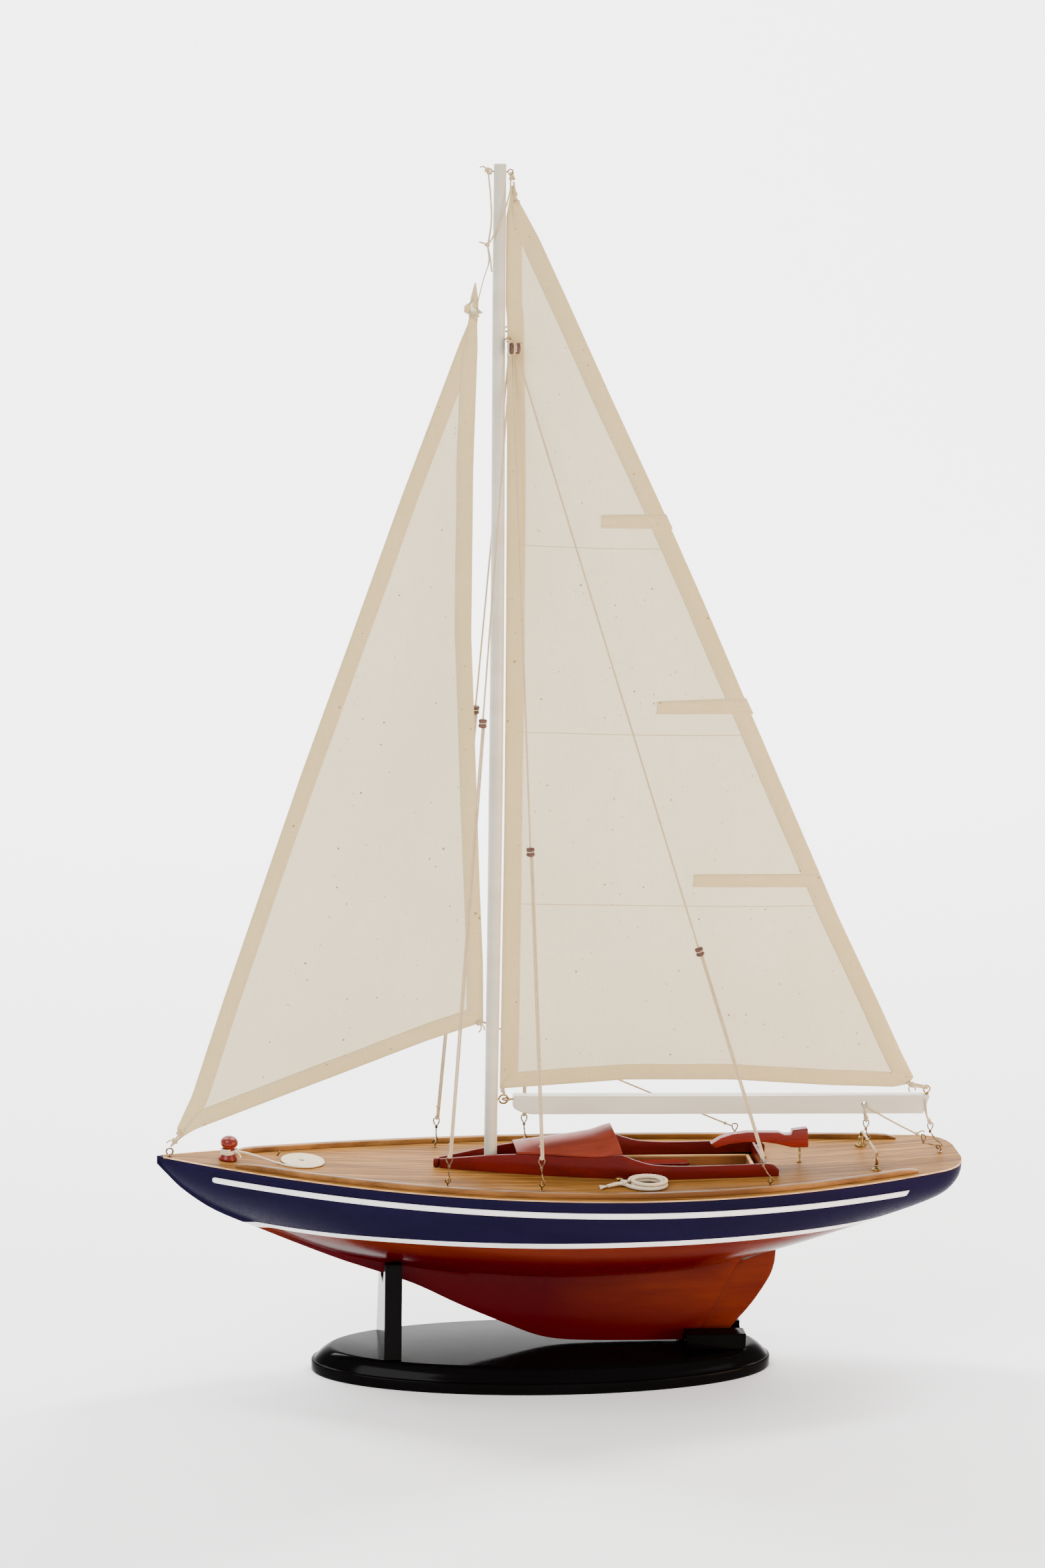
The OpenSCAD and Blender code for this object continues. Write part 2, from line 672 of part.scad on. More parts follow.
// ---- Deck gear ----
bitt_x = -166.5;
module bow_bitt() {
    color("sienna") translate([bitt_x, 0, sheer(bitt_x) + 0.25]) rotate([0, -deck_slope(bitt_x), 0])
        rotate_extrude() polygon(concat(
            [[0, 0], [4.7, 0], [4.6, 1], [3.6, 3], [3, 4.6], [3, 6]],
            [for (i = [0 : 12]) let (a = -50 + 140 * i / 12)
                [4.6 * cos(a), 9.8 + 4.2 * sin(a)]]));
}
module deck_nails() {
    color("goldenrod") {
        for (p = [[-140.5, 10.5], [33, -29]])
            translate([p[0], p[1], on_deck(p[0])]) cylinder(h = 3.4, r = 0.4);
        translate([33, -29, on_deck(33) + 3.4]) cylinder(h = 0.7, r = 1.6);
    }
}
module mooring_line() {
    color("ivory") tube(mooring_route, mooring_r);
}
module mooring_coil() {
    color("ivory") translate([coil_x, coil_y, sheer(coil_x) + 0.15])
        rotate([0, -deck_slope(coil_x), 0]) cylinder(h = 2 * mooring_r, r = coil_r);
}
module cleat_rope_tail() {
    color("ivory") tube(rope_route, rope_r);
}
module cleat_rope_coil() {
    color("ivory") translate([rope_c[0], rope_c[1], sheer(rope_c[0]) + 0.3])
        linear_extrude(3.4) scale([1, 0.82]) difference() {
            circle(11);
            circle(6);
        }
}

stand_base();
stand_post();
stand_block();
hull();
keel();
rudder();
deck();
toe_rail_port();
toe_rail_starboard();
cove_strip_port();
cove_strip_starboard();
coaming_port();
coaming_starboard();
coaming_tip();
cabin_roof();
cockpit_well();
cockpit_benches();
cockpit_aft_board();
mast_step();
mast();
mast_eyes();
upper_bead();
gooseneck_eye();
bow_eye();
stern_eye();
chainplate_eyes();
stay_hooks();
stay_port_fore();
stay_port_mid();
stay_port_aft();
stay_starboard_fore();
stay_starboard_mid();
bowsie_port_fore();
bowsie_port_mid();
bowsie_port_aft();
bowsie_starboard_fore();
bowsie_starboard_mid();
jib();
jib_halyard();
jib_tack_tie();
jib_sheet();
jib_sheet_hook();
boom();
boom_eye();
clew_eye();
mainsail();
main_ties();
boom_end_sheet();
boom_mid_sheet();
sheet_hooks();
traveller();
tiller();
tiller_pin();
bow_bitt();
deck_nails();
mooring_line();
mooring_coil();
cleat_rope_tail();
cleat_rope_coil();
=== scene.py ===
"""Display sloop on an oval stand: the looks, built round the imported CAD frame.

+X is aft, -Y is port, +Z is up, and the origin is under the middle of the stand.
Lengths are in millimetres and become metres in mesh_object, apart from the
camera, the lights and the heights read inside bottom_paint, which are in metres.
"""

from math import cos, exp, pi, radians, sin, sqrt, tan

import bmesh
import bpy
from mathutils import Matrix, Vector, noise


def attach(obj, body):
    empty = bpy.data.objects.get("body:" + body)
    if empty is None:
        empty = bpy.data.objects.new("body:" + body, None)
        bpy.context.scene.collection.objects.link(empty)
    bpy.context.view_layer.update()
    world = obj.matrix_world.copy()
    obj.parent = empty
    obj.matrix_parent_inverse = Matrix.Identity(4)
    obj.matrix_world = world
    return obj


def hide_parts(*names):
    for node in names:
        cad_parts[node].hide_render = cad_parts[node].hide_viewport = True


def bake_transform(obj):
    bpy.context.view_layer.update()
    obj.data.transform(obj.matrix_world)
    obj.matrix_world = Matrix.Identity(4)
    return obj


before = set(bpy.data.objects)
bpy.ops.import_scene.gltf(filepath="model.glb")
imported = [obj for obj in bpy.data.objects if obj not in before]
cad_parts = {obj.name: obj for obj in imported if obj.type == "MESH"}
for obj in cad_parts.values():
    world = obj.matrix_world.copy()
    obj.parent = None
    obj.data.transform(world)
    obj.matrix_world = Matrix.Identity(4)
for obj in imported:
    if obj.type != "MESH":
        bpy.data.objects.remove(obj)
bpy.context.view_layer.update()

MM = 0.001

# ---- Camera ----
LENS_MM = 91.84
SENSOR_MM = 36
CAMERA_AT = Vector((-0.2722, -1.969, 0.7593))
HEADING = radians(7.31)
DOWN = radians(12.65)
ROLL = radians(1.77)


def add_camera():
    level = Vector((sin(HEADING), cos(HEADING), 0))
    ahead = cos(DOWN) * level - sin(DOWN) * Vector((0, 0, 1))
    right = Vector((cos(HEADING), -sin(HEADING), 0))
    up = right.cross(ahead)
    x_axis = cos(ROLL) * right + sin(ROLL) * up
    y_axis = cos(ROLL) * up - sin(ROLL) * right
    data = bpy.data.cameras.new("camera")
    data.sensor_fit = "VERTICAL"
    data.sensor_height = SENSOR_MM
    data.lens = LENS_MM
    camera = bpy.data.objects.new("camera", data)
    turn = Matrix((x_axis, y_axis, -ahead)).transposed().to_4x4()
    camera.matrix_world = Matrix.Translation(CAMERA_AT) @ turn
    bpy.context.scene.collection.objects.link(camera)
    bpy.context.scene.camera = camera


# ---- Materials ----
def srgb(*colour):
    """Linear colour, with alpha, from the usual 0..255 numbers."""
    shares = [c / 255 for c in colour]
    return (*(c / 12.92 if c <= 0.04045 else ((c + 0.055) / 1.055) ** 2.4 for c in shares), 1.0)


class Graph:
    """A material whose Principled shader is fed by a few procedural nodes."""

    def __init__(self, name, **sockets):
        self.mat = bpy.data.materials.new(name)
        self.mat.use_nodes = True
        self.tree = self.mat.node_tree
        self.shader = self.tree.nodes["Principled BSDF"]
        self.place = self.add("ShaderNodeTexCoord").outputs["Object"]
        self.set(**sockets)

    def plug(self, socket, value):
        """Link another node's output to a socket, or set a plain value on it.
        Colours are given as the usual 0..255 numbers."""
        if isinstance(value, bpy.types.NodeSocket):
            self.tree.links.new(value, socket)
        elif socket.type == "RGBA":
            socket.default_value = srgb(*value)
        else:
            socket.default_value = value

    def add(self, kind, **props):
        node = self.tree.nodes.new(kind)
        for key, value in props.items():
            setattr(node, key, value)
        return node

    def feed(self, node, **inputs):
        for key, value in inputs.items():
            self.plug(node.inputs[key.replace("_", " ")], value)
        return node

    def set(self, **sockets):
        self.feed(self.shader, **sockets)

    def stretched(self, size):
        """Object coordinates divided by a size in millimetres along each axis."""
        node = self.add("ShaderNodeMapping")
        scale = [1 / (s * MM) for s in size]
        return self.feed(node, Vector=self.place, Scale=scale).outputs["Vector"]

    def noise(self, size, detail=3.0, rough=0.55, distortion=0.0):
        node = self.add("ShaderNodeTexNoise")
        self.feed(node, Vector=self.stretched(size), Scale=1.0, Detail=detail, Roughness=rough,
                  Distortion=distortion)
        return node.outputs["Fac"]

    def span(self, value, low, high, to_low=0.0, to_high=1.0):
        """value mapped from low..high to to_low..to_high, and held there."""
        node = self.add("ShaderNodeMapRange")
        self.feed(node, Value=value, From_Min=low, From_Max=high, To_Min=to_low, To_Max=to_high)
        return node.outputs["Result"]

    def mix(self, factor, a, b):
        node = self.add("ShaderNodeMix", data_type="RGBA")
        for index, value in ((0, factor), (6, a), (7, b)):
            self.plug(node.inputs[index], value)
        return node.outputs[2]

    def math(self, operation, a, b):
        node = self.add("ShaderNodeMath", operation=operation)
        self.plug(node.inputs[0], a)
        self.plug(node.inputs[1], b)
        return node.outputs[0]

    def bump(self, height, depth):
        node = self.feed(self.add("ShaderNodeBump"), Height=height, Distance=depth * MM, Strength=1.0)
        self.set(Normal=node.outputs["Normal"])

    def brushed(self, rough, ripple):
        """Dust in the gloss, and the ripple of a coat put on by hand."""
        dust = self.noise((1.4, 1.4, 1.4), detail=2)
        self.set(Roughness=self.span(dust, 0.3, 0.75, rough * 0.8, rough * 1.3))
        self.bump(self.noise((9, 5, 3), detail=2), ripple)
        return self.mat


def paint(name, colour, other, rough, coat=0.0, ripple=0.02, shine=0.5):
    """Brushed gloss or satin paint over wood: faint ripple and dust."""
    g = Graph(name, Coat_Weight=coat, Coat_Roughness=0.06, Specular_IOR_Level=shine)
    g.set(Base_Color=g.mix(g.span(g.noise((60, 25, 14)), 0.35, 0.65), colour, other))
    return g.brushed(rough, ripple)


def bottom_paint(name, deep, warm, rough, shine):
    """Red bottom paint: deep red, with a painted warm reflection that turns it
    orange-brown under the waterline stripe, low on the after body and on the rudder."""
    g = Graph(name, Specular_IOR_Level=shine)
    metre = 1000
    place = g.feed(g.add("ShaderNodeSeparateXYZ"), Vector=g.stretched((metre, metre, metre)))
    x, z = place.outputs["X"], place.outputs["Z"]
    streak = g.noise((70, 40, 9), detail=3)
    band = g.math("MULTIPLY", g.span(z, 0.07, 0.078), g.span(x, 0.0, 0.12, 0.9, 0.35))
    low = g.math("MULTIPLY", g.span(x, 0.0, 0.054), g.span(z, 0.044, 0.062, 1.0, 0.0))
    low = g.math("MULTIPLY", low, g.span(z, 0.022, 0.038, 0.1, 1.0))
    after = g.span(x, 0.072, 0.1)
    # Painted warm reflection: where the red turns orange-brown, broken up by streaky noise
    painted_reflection = g.math("MAXIMUM", g.math("MAXIMUM", band, low), after)
    painted_reflection = g.math("MULTIPLY", painted_reflection, g.span(streak, 0.3, 0.62, 0.45, 1.0))
    g.set(Base_Color=g.mix(painted_reflection, deep, warm))
    return g.brushed(rough, 0.03)


def wood(name, light, dark, along, across, rough, coat, fibres=0.35, shine=0.5):
    """Varnished wood whose grain runs along X: broad figure and fine fibres."""
    g = Graph(name, Coat_Weight=coat, Coat_Roughness=0.12, Specular_IOR_Level=shine)
    figure = g.noise((along, across * 2.6, across * 4), detail=4, distortion=0.4)
    fibre = g.noise((along * 0.35, across * 0.45, across * 0.6), detail=2)
    base = g.mix(g.span(figure, 0.36, 0.66), light, dark)
    lines = g.span(fibre, 0.52, 0.68, 0.0, fibres)
    g.set(Base_Color=g.mix(lines, base, dark))
    g.set(Roughness=g.span(fibre, 0.3, 0.7, rough * 0.85, rough * 1.25))
    g.bump(fibre, 0.03)
    return g.mat


def planked(name, light, dark, rough):
    """Deck veneer: straight fore-and-aft grain in fine dark streaks."""
    g = Graph(name, Specular_IOR_Level=0.07)
    figure = g.noise((70, 2.2, 30), detail=5, rough=0.65, distortion=0.15)
    streak = g.noise((26, 0.55, 30), detail=3, rough=0.7)
    pore = g.noise((5, 0.28, 20), detail=1)
    base = g.mix(g.span(figure, 0.38, 0.64), light, dark)
    base = g.mix(g.span(streak, 0.5, 0.6, 0.0, 0.75), base, dark)
    base = g.mix(g.span(pore, 0.6, 0.7, 0.0, 0.4), base, (112, 74, 44))
    g.set(Base_Color=base, Roughness=g.span(streak, 0.3, 0.7, rough * 0.8, rough * 1.2))
    g.bump(streak, 0.02)
    return g.mat


def metal(name, bright, dull, rough):
    g = Graph(name, Metallic=1.0)
    tarnish = g.noise((1.6, 1.6, 1.6), detail=3)
    g.set(Base_Color=g.mix(g.span(tarnish, 0.35, 0.65), bright, dull))
    g.set(Roughness=g.span(tarnish, 0.35, 0.65, rough * 0.8, rough * 1.5))
    return g.mat


def cotton(name, colour, shade, thread):
    """Twisted cotton: soft fibres with darker creases between the strands."""
    g = Graph(name, Roughness=0.9, Sheen_Weight=0.25, Sheen_Roughness=0.5)
    fuzz = g.noise((thread, thread, thread), detail=3)
    soil = g.noise((9, 9, 9), detail=2)
    base = g.mix(g.span(fuzz, 0.35, 0.7), colour, shade)
    g.set(Base_Color=g.mix(g.span(soil, 0.5, 0.8, 0.0, 0.35), base, shade))
    g.bump(fuzz, thread * 0.25)
    return g.mat


def cloth(name, colour, shade, fleck, seed):
    """Plain cotton sheeting in the XZ plane, with slubs and seed flecks."""
    g = Graph(name, Roughness=0.88, Sheen_Weight=0.15, Sheen_Roughness=0.6)
    warp = g.noise((0.42, 5, 9), detail=2, rough=0.6)
    weft = g.noise((9, 5, 0.42), detail=2, rough=0.6)
    slub = g.noise((34, 9, 1.1), detail=2)
    cloud = g.noise((60 + seed, 30, 75), detail=3)
    weave = g.math("MULTIPLY", g.math("ADD", warp, weft), 0.5)
    base = g.mix(g.span(weave, 0.24, 0.76), shade, colour)
    base = g.mix(g.span(slub, 0.6, 0.74, 0.0, 0.35), base, shade)
    base = g.mix(g.span(cloud, 0.4, 0.7, 0.0, 0.5), base, shade)
    split = g.add("ShaderNodeSeparateXYZ")
    g.feed(split, Vector=g.stretched((8 + seed, 8, 9)))
    plane = g.add("ShaderNodeCombineXYZ")
    g.feed(plane, X=split.outputs["X"], Y=split.outputs["Z"])
    cells = g.add("ShaderNodeTexVoronoi", feature="F1", voronoi_dimensions="2D")
    g.feed(cells, Vector=plane.outputs["Vector"], Scale=1.0, Randomness=1.0)
    edge = g.math("MULTIPLY", g.noise((0.7, 9, 0.5)), 0.1)
    grade = g.math("MULTIPLY", g.noise((17, 9, 15), detail=0), 0.16)
    ragged = g.math("ADD", g.math("ADD", cells.outputs["Distance"], edge), grade)
    size = g.span(ragged, 0.145, 0.175, 1.0, 0.0)
    chosen = g.span(g.noise((11, 11, 14), detail=1), 0.47, 0.59)
    spot = g.math("MULTIPLY", g.math("MULTIPLY", size, chosen), 0.85)
    g.set(Base_Color=g.mix(spot, base, fleck))
    g.bump(weave, 0.09)
    return g.mat


# Each look: its material, and the name of a slot, which the script does not use
LOOKS = {}


def make_looks():
    LOOKS.update({
        "stand": (paint("stand_lacquer", (4, 3, 3), (6, 5, 6), 0.12, shine=0.03), "stand_black"),
        "navy": (paint("topside_paint", (14, 10, 35), (17, 12, 40), 0.45, shine=0.03),
                 "topside_navy"),
        # The bottom's second colour, (90, 30, 7), is a painted warm reflection on the red
        "red": (bottom_paint("bottom_paint", (60, 0, 6), (90, 30, 7), 0.2, 0.05), "bottom_red"),
        "white": (paint("line_paint", (236, 237, 238), (226, 228, 230), 0.3), "line_white"),
        "spar": (paint("spar_paint", (192, 187, 170), (180, 174, 156), 0.4, 0.05, 0.03),
                 "spar_white"),
        "deck": (planked("deck_veneer", (150, 104, 48), (90, 58, 22), 0.5), "deck_ash"),
        "edge": (wood("deck_edge_wood", (206, 168, 118), (168, 124, 76), 40, 0.8, 0.4, 0.0, shine=0.15),
                 "deck_ash"),
        "oak": (wood("rail_wood", (146, 102, 54), (92, 58, 26), 90, 2.6, 0.36, 0.02, 0.3, 0.15),
                "rail_oak"),
        "well": (wood("well_wood", (132, 84, 38), (96, 56, 22), 40, 1.0, 0.45, 0.1), "deck_ash"),
        "mahogany": (wood("mahogany_wood", (94, 15, 8), (72, 8, 4), 60, 2.4, 0.3, 0.04, 0.12, 0.16),
                     "mahogany"),
        "roof": (wood("roof_wood", (118, 46, 29), (96, 30, 18), 60, 2.4, 0.34, 0.0, 0.12, 0.12),
                 "mahogany"),
        "tiller": (wood("tiller_wood", (116, 26, 8), (88, 14, 4), 40, 1.6, 0.28, 0.1, 0.15, 0.25),
                   "mahogany"),
        "bead": (wood("bead_wood", (84, 44, 26), (44, 22, 12), 2, 0.5, 0.45, 0.1), "bead_wood"),
        "brass": (metal("brass_wire", (172, 138, 84), (104, 78, 42), 0.32), "brass"),
        "wire": (metal("dull_wire", (140, 120, 92), (84, 68, 50), 0.42), "wire"),
        "cord": (cotton("cord_cotton", (202, 182, 144), (146, 122, 86), 0.3), "cord"),
        "rope": (cotton("rope_cotton", (224, 211, 184), (190, 171, 138), 0.4), "rope"),
        "thread": (cotton("stitch_thread", (216, 196, 158), (196, 174, 134), 0.3), "cord"),
        "sail": (cloth("sail_cloth", (226, 220, 193), (210, 201, 169), (98, 74, 48), 0),
                 "sailcloth"),
        # The hem's darker tan is painted shade: the doubled cloth passes less of the light from behind
        "hem": (cloth("hem_cloth_painted_shade", (199, 181, 136), (181, 161, 113), (104, 80, 52), 2),
                "sailcloth"),
    })


# ---- Mesh tools ----
def grid(rows, closed=False, caps=False):
    """(points, faces) over rows of points; closed joins each row's ends."""
    n = len(rows[0])
    points = [Vector(p) for row in rows for p in row]
    across = range(n if closed else n - 1)
    faces = []
    for i in range(len(rows) - 1):
        for j in across:
            k = (j + 1) % n
            faces.append((i * n + j, i * n + k, (i + 1) * n + k, (i + 1) * n + j))
    if caps:
        faces.append(tuple(range(n - 1, -1, -1)))
        last = (len(rows) - 1) * n
        faces.append(tuple(last + j for j in range(n)))
    return points, faces


def around(n):
    """n angles, evenly spaced once round."""
    return [2 * pi * k / n for k in range(n)]


def solid(rows):
    """A closed body over rows of points that each run round a section."""
    return grid(rows, closed=True, caps=True)


def joined(parts):
    """Several (points, faces) as one."""
    points, faces = [], []
    for p, f in parts:
        base = len(points)
        points += p
        faces += [tuple(base + i for i in face) for face in f]
    return points, faces


def mesh_object(name, shape, material, smooth=True, bevel=0.0, segments=3):
    """An object from (points, faces) in millimetres, or from a list of them."""
    points, faces = joined(shape) if isinstance(shape, list) else shape
    mesh = bpy.data.meshes.new(name)
    mesh.from_pydata([tuple(p * MM) for p in points], [], faces)
    bm = bmesh.new()
    bm.from_mesh(mesh)
    bmesh.ops.remove_doubles(bm, verts=bm.verts, dist=1e-7)
    bmesh.ops.recalc_face_normals(bm, faces=bm.faces)
    bm.to_mesh(mesh)
    bm.free()
    mesh.materials.append(material)
    if smooth:
        mesh.shade_smooth()
    obj = bpy.data.objects.new(name, mesh)
    bpy.context.scene.collection.objects.link(obj)
    if bevel:
        round_edges(obj, bevel, segments)
    return obj


def round_edges(obj, width, segments=3, angle=35):
    edge = obj.modifiers.new("round", "BEVEL")
    edge.width = width * MM
    edge.segments = segments
    edge.limit_method = "ANGLE"
    edge.angle_limit = radians(angle)
    edge.harden_normals = True


def piece(name, shape, look, body="boat", cad="", slot=None, **finish):
    """A shown piece that rides on a CAD body; cad names the CAD nodes it replaces."""
    material, own_slot = LOOKS[look]
    return placed(mesh_object(name, shape, material, **finish), body, cad)


def placed(obj, body, cad):
    """Put an object on its body, in place of its CAD nodes."""
    if body:
        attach(obj, body)
    if cad:
        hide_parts(*cad.split())
    return obj


def curve_points(points, step):
    """A smooth run through the given points, about step apart."""
    pts = [Vector(p) for p in points]
    if len(pts) == 2:
        n = max(1, round((pts[1] - pts[0]).length / step))
        return [pts[0].lerp(pts[1], i / n) for i in range(n + 1)]
    out = []
    for i in range(len(pts) - 1):
        a, b = pts[i], pts[i + 1]
        before = pts[i - 1] if i else a + (a - b)
        after = pts[i + 2] if i + 2 < len(pts) else b + (b - a)
        n = max(2, round((b - a).length / step))
        linear = b - before
        square = 2 * before - 5 * a + 4 * b - after
        cube = 3 * a - before - 3 * b + after
        for t in (k / n for k in range(n)):
            out.append(a + 0.5 * (linear * t + square * t**2 + cube * t**3))
    out.append(pts[-1])
    return out


def frames(path):
    """A tangent and a steady normal at each point of the path."""
    tangents = []
    for i in range(len(path)):
        a, b = path[max(i - 1, 0)], path[min(i + 1, len(path) - 1)]
        tangents.append((b - a).normalized())
    first = tangents[0]
    side = Vector((0, 0, 1)) if abs(first.z) < 0.9 else Vector((1, 0, 0))
    normal = first.cross(side).normalized()
    out = []
    for t in tangents:
        normal = (normal - t * normal.dot(t)).normalized()
        out.append((t, normal))
    return out


def tube(path, radius, sides=10, strands=0, pitch=3.0):
    """Round wire along the path, or a cord laid up from twisted strands."""
    rows = []
    travelled = 0.0
    for i, (p, (t, normal)) in enumerate(zip(path, frames(path))):
        if i:
            travelled += (p - path[i - 1]).length
        other = t.cross(normal)
        row = []
        for a in around(sides):
            swell = 1.0
            if strands:
                lay = strands * (a - 2 * pi * travelled / pitch)
                swell = 0.76 + 0.24 * abs(cos(lay / 2)) ** 0.7
            row.append(p + radius * swell * (cos(a) * normal + sin(a) * other))
        rows.append(row)
    return solid(rows)


# Pitch of the twist of three-stranded cord, in radii
TWIST = 7


def cord(points, radius=0.5):
    """Twisted cord through the points."""
    return tube(curve_points(points, 0.5), radius, 12, 3, radius * TWIST)


def cords(radius, *runs):
    return [cord(run, radius) for run in runs]


def wire(points):
    return tube(curve_points(points, 0.35), 0.34, 8)


def ring_path(centre, r, axis_a, axis_b, start=0.0, sweep=360.0, steps=36):
    """Points on a circle spanned by two directions."""
    a, b = Vector(axis_a).normalized(), Vector(axis_b).normalized()
    out = []
    for i in range(steps + 1):
        angle = radians(start + sweep * i / steps)
        out.append(Vector(centre) + r * (cos(angle) * a + sin(angle) * b))
    return out


def lathe(profile, at=(0, 0, 0), axis=(0, 0, 1), steps=40):
    """A turned shape: profile holds (radius, height) pairs along the axis."""
    up = Vector(axis).normalized()
    side = Vector((1, 0, 0)) if abs(up.x) < 0.9 else Vector((0, 1, 0))
    a = (side - up * side.dot(up)).normalized()
    b = up.cross(a)
    rows = []
    for r, h in profile:
        centre = Vector(at) + up * h
        rows.append([centre + r * (cos(t) * a + sin(t) * b) for t in around(steps)])
    return solid(rows)


def knot(centre, size, radius=0.5, lean=(0, 0, 1)):
    """A small overhand knot: a trefoil of cord, turned to face lean."""
    turn = Vector((0, 0, 1)).rotation_difference(Vector(lean).normalized())
    path = []
    for i in range(61):
        t = 2 * pi * i / 60
        x, y = sin(t) + 2 * sin(2 * t), cos(t) - 2 * cos(2 * t)
        p = Vector((x, y, -sin(3 * t) * 1.1))
        path.append(Vector(centre) + turn @ (p * size / 3))
    return tube(path, radius, 8, 3, radius * TWIST)


def wraps(centre, axis, r, turns, radius=0.5):
    """Cord wound a few turns about an axis, one diameter apart."""
    axis = Vector(axis).normalized()
    side = Vector((1, 0, 0)) if abs(axis.x) < 0.8 else Vector((0, 1, 0))
    a = (side - axis * side.dot(axis)).normalized()
    b = axis.cross(a)
    steps = int(turns * 20)
    path = []
    for i in range(steps + 1):
        t = 2 * pi * i / 20
        rise = (i / steps - 0.5) * turns * radius * 1.9
        path.append(Vector(centre) + axis * rise + r * (cos(t) * a + sin(t) * b))
    return tube(path, radius, 8, 3, radius * TWIST)


def extruded(outline, low, high, along_x=False):
    """An XZ outline given thickness along Y, or a YZ outline along X."""
    n = len(outline)
    points = [Vector((t, a, z) if along_x else (a, t, z)) for t in (low, high) for a, z in outline]
    faces = [tuple(range(n)), tuple(range(2 * n - 1, n - 1, -1))]
    faces += [(i, (i + 1) % n, n + (i + 1) % n, n + i) for i in range(n)]
    return points, faces


def block(lo, hi):
    x0, y0, z0 = lo
    x1, y1, z1 = hi
    return extruded([(x0, z0), (x1, z0), (x1, z1), (x0, z1)], y0, y1)


# ---- Hull lines, as in the CAD source ----
BOW_X = -203
STERN_X = 217
LOW_X = 36
SHEER_Z = 108.8
DECK_T = 1.6
HALF_BREADTH = 56.5
# The plan turns in over this length to the rounded stern
STERN_TURN = 17
# Station, canoe body, keel, half thickness of the keel, V-shape of the section
LINES = [
    (-203, 115, 113.5, 1.2, 0.70),
    (-199, 111.2, 109.2, 1.3, 0.75),
    (-190, 102.2, 100, 1.4, 0.80),
    (-174, 91.1, 88.8, 1.6, 0.85),
    (-150, 80.6, 78.2, 2, 0.90),
    (-110, 65, 62, 3.5, 0.90),
    (-70, 57, 48, 4.5, 0.80),
    (-45, 54, 36, 5, 0.70),
    (-20, 52.5, 25, 5, 0.62),
    (-2, 52, 18, 5, 0.58),
    (15, 52, 15.5, 5, 0.56),
    (60, 54, 14.5, 4.5, 0.56),
    (79, 56.5, 14.5, 4, 0.56),
    (104, 62.3, 58.5, 3, 0.55),
    (124, 67.5, 65, 2, 0.55),
    (152, 76.2, 74.3, 2, 0.54),
    (174, 83.6, 82.2, 2, 0.52),
    (195, 90.8, 89.4, 2, 0.50),
    (207, 96.5, 95, 2, 0.50),
    (214, 103.5, 102, 2, 0.50),
    (217, 109, 107.5, 2, 0.50),
]
# Height of the cabin and cockpit boards above the deck at each station
BOARD_RISE = [(-60, 4.4), (-18, 10.4), (24, 11), (36, 12.6), (42, 10.5), (50, 8.2), (64, 7),
              (90, 6.8), (109, 6.8), (115, 6.2), (118, 3.5)]


SIDES = ((-1, "port"), (1, "starboard"))


def clamp(v, lo, hi):
    return min(max(v, lo), hi)


def fair(table, x, c):
    """Smooth curve through column c of a table."""

    def slope(i):
        a, b = max(i - 1, 0), min(i + 1, len(table) - 1)
        return (table[b][c] - table[a][c]) / (table[b][0] - table[a][0])

    i = max(k for k in range(len(table) - 1) if k == 0 or table[k][0] <= x)
    w = table[i + 1][0] - table[i][0]
    s = clamp((x - table[i][0]) / w, 0, 1)
    ends = table[i][c] * (2 * s**3 - 3 * s**2 + 1) + table[i + 1][c] * (3 * s**2 - 2 * s**3)
    return ends + w * slope(i) * (s**3 - 2 * s**2 + s) + w * slope(i + 1) * (s**3 - s**2)


def sheer(x):
    if x < LOW_X:
        return SHEER_Z + 8.7 * ((LOW_X - x) / (LOW_X - BOW_X)) ** 2
    return SHEER_Z + 7.7 * ((x - LOW_X) / (STERN_X - LOW_X)) ** 2


def breadth(x):
    if x < LOW_X:
        full = 1 - ((LOW_X - x) / (LOW_X - BOW_X + 2)) ** 2
    else:
        full = 1 - 0.53 * ((x - LOW_X) / (STERN_X - LOW_X)) ** 2
    turn = clamp((x - STERN_X + STERN_TURN) / (STERN_TURN + 0.3), 0, 1)
    return HALF_BREADTH * full * (1 - turn**3) ** (1 / 3)


def hull_half(x, v):
    body = breadth(x) * max(1 - v**2.2, 0) ** fair(LINES, x, 4)
    sharp = sqrt(clamp((x - BOW_X + 0.2) / 5, 0, 1))
    return sharp * sqrt(body**2 + fair(LINES, x, 3) ** 2 * v)


def hull_y(x, z):
    top = sheer(x) - DECK_T
    return hull_half(x, clamp((top - z) / (top - fair(LINES, x, 1)), 0, 1))


def on_deck(x):
    return sheer(x) + 0.07


def coaming_y(x):
    t = clamp((x + 60) / 115, 0, 1)
    return 1.5 + 20 * (1 - (1 - t) ** 1.3)


def spaced(x0, x1, step):
    n = max(1, round((x1 - x0) / step))
    return [x0 + (x1 - x0) * i / n for i in range(n + 1)]


def stern_stations():
    """Stations that close up towards the end of the stern."""
    return [STERN_X - STERN_TURN * (1 - sin(pi / 2 * i / 14)) for i in range(15)]


def mirrored(port):
    """A row of points carried on round the starboard side."""
    return port + [(x, -y, z) for x, y, z in reversed(port)]


def hull_stations():
    return spaced(BOW_X, -190, 1.3) + spaced(-187, 198, 3.2) + stern_stations()


def hull_row(x):
    top, low = sheer(x) - DECK_T, fair(LINES, x, 1)
    foot, t = max(fair(LINES, x, 2), 14.5), fair(LINES, x, 3)
    body, fin = 26, 8
    half = [(hull_half(x, 0) + 0.04, sheer(x) - 0.1)]
    for i in range(body + 1):
        v = sin(pi / 2 * i / body)
        half.append((hull_half(x, v), top - (top - low) * v))
    for i in range(1, fin + 1):
        v = i / fin
        half.append((t * (1 - 0.3 * v * v), low - (low - foot) * v))
    return mirrored([(x, -y, z) for y, z in half])


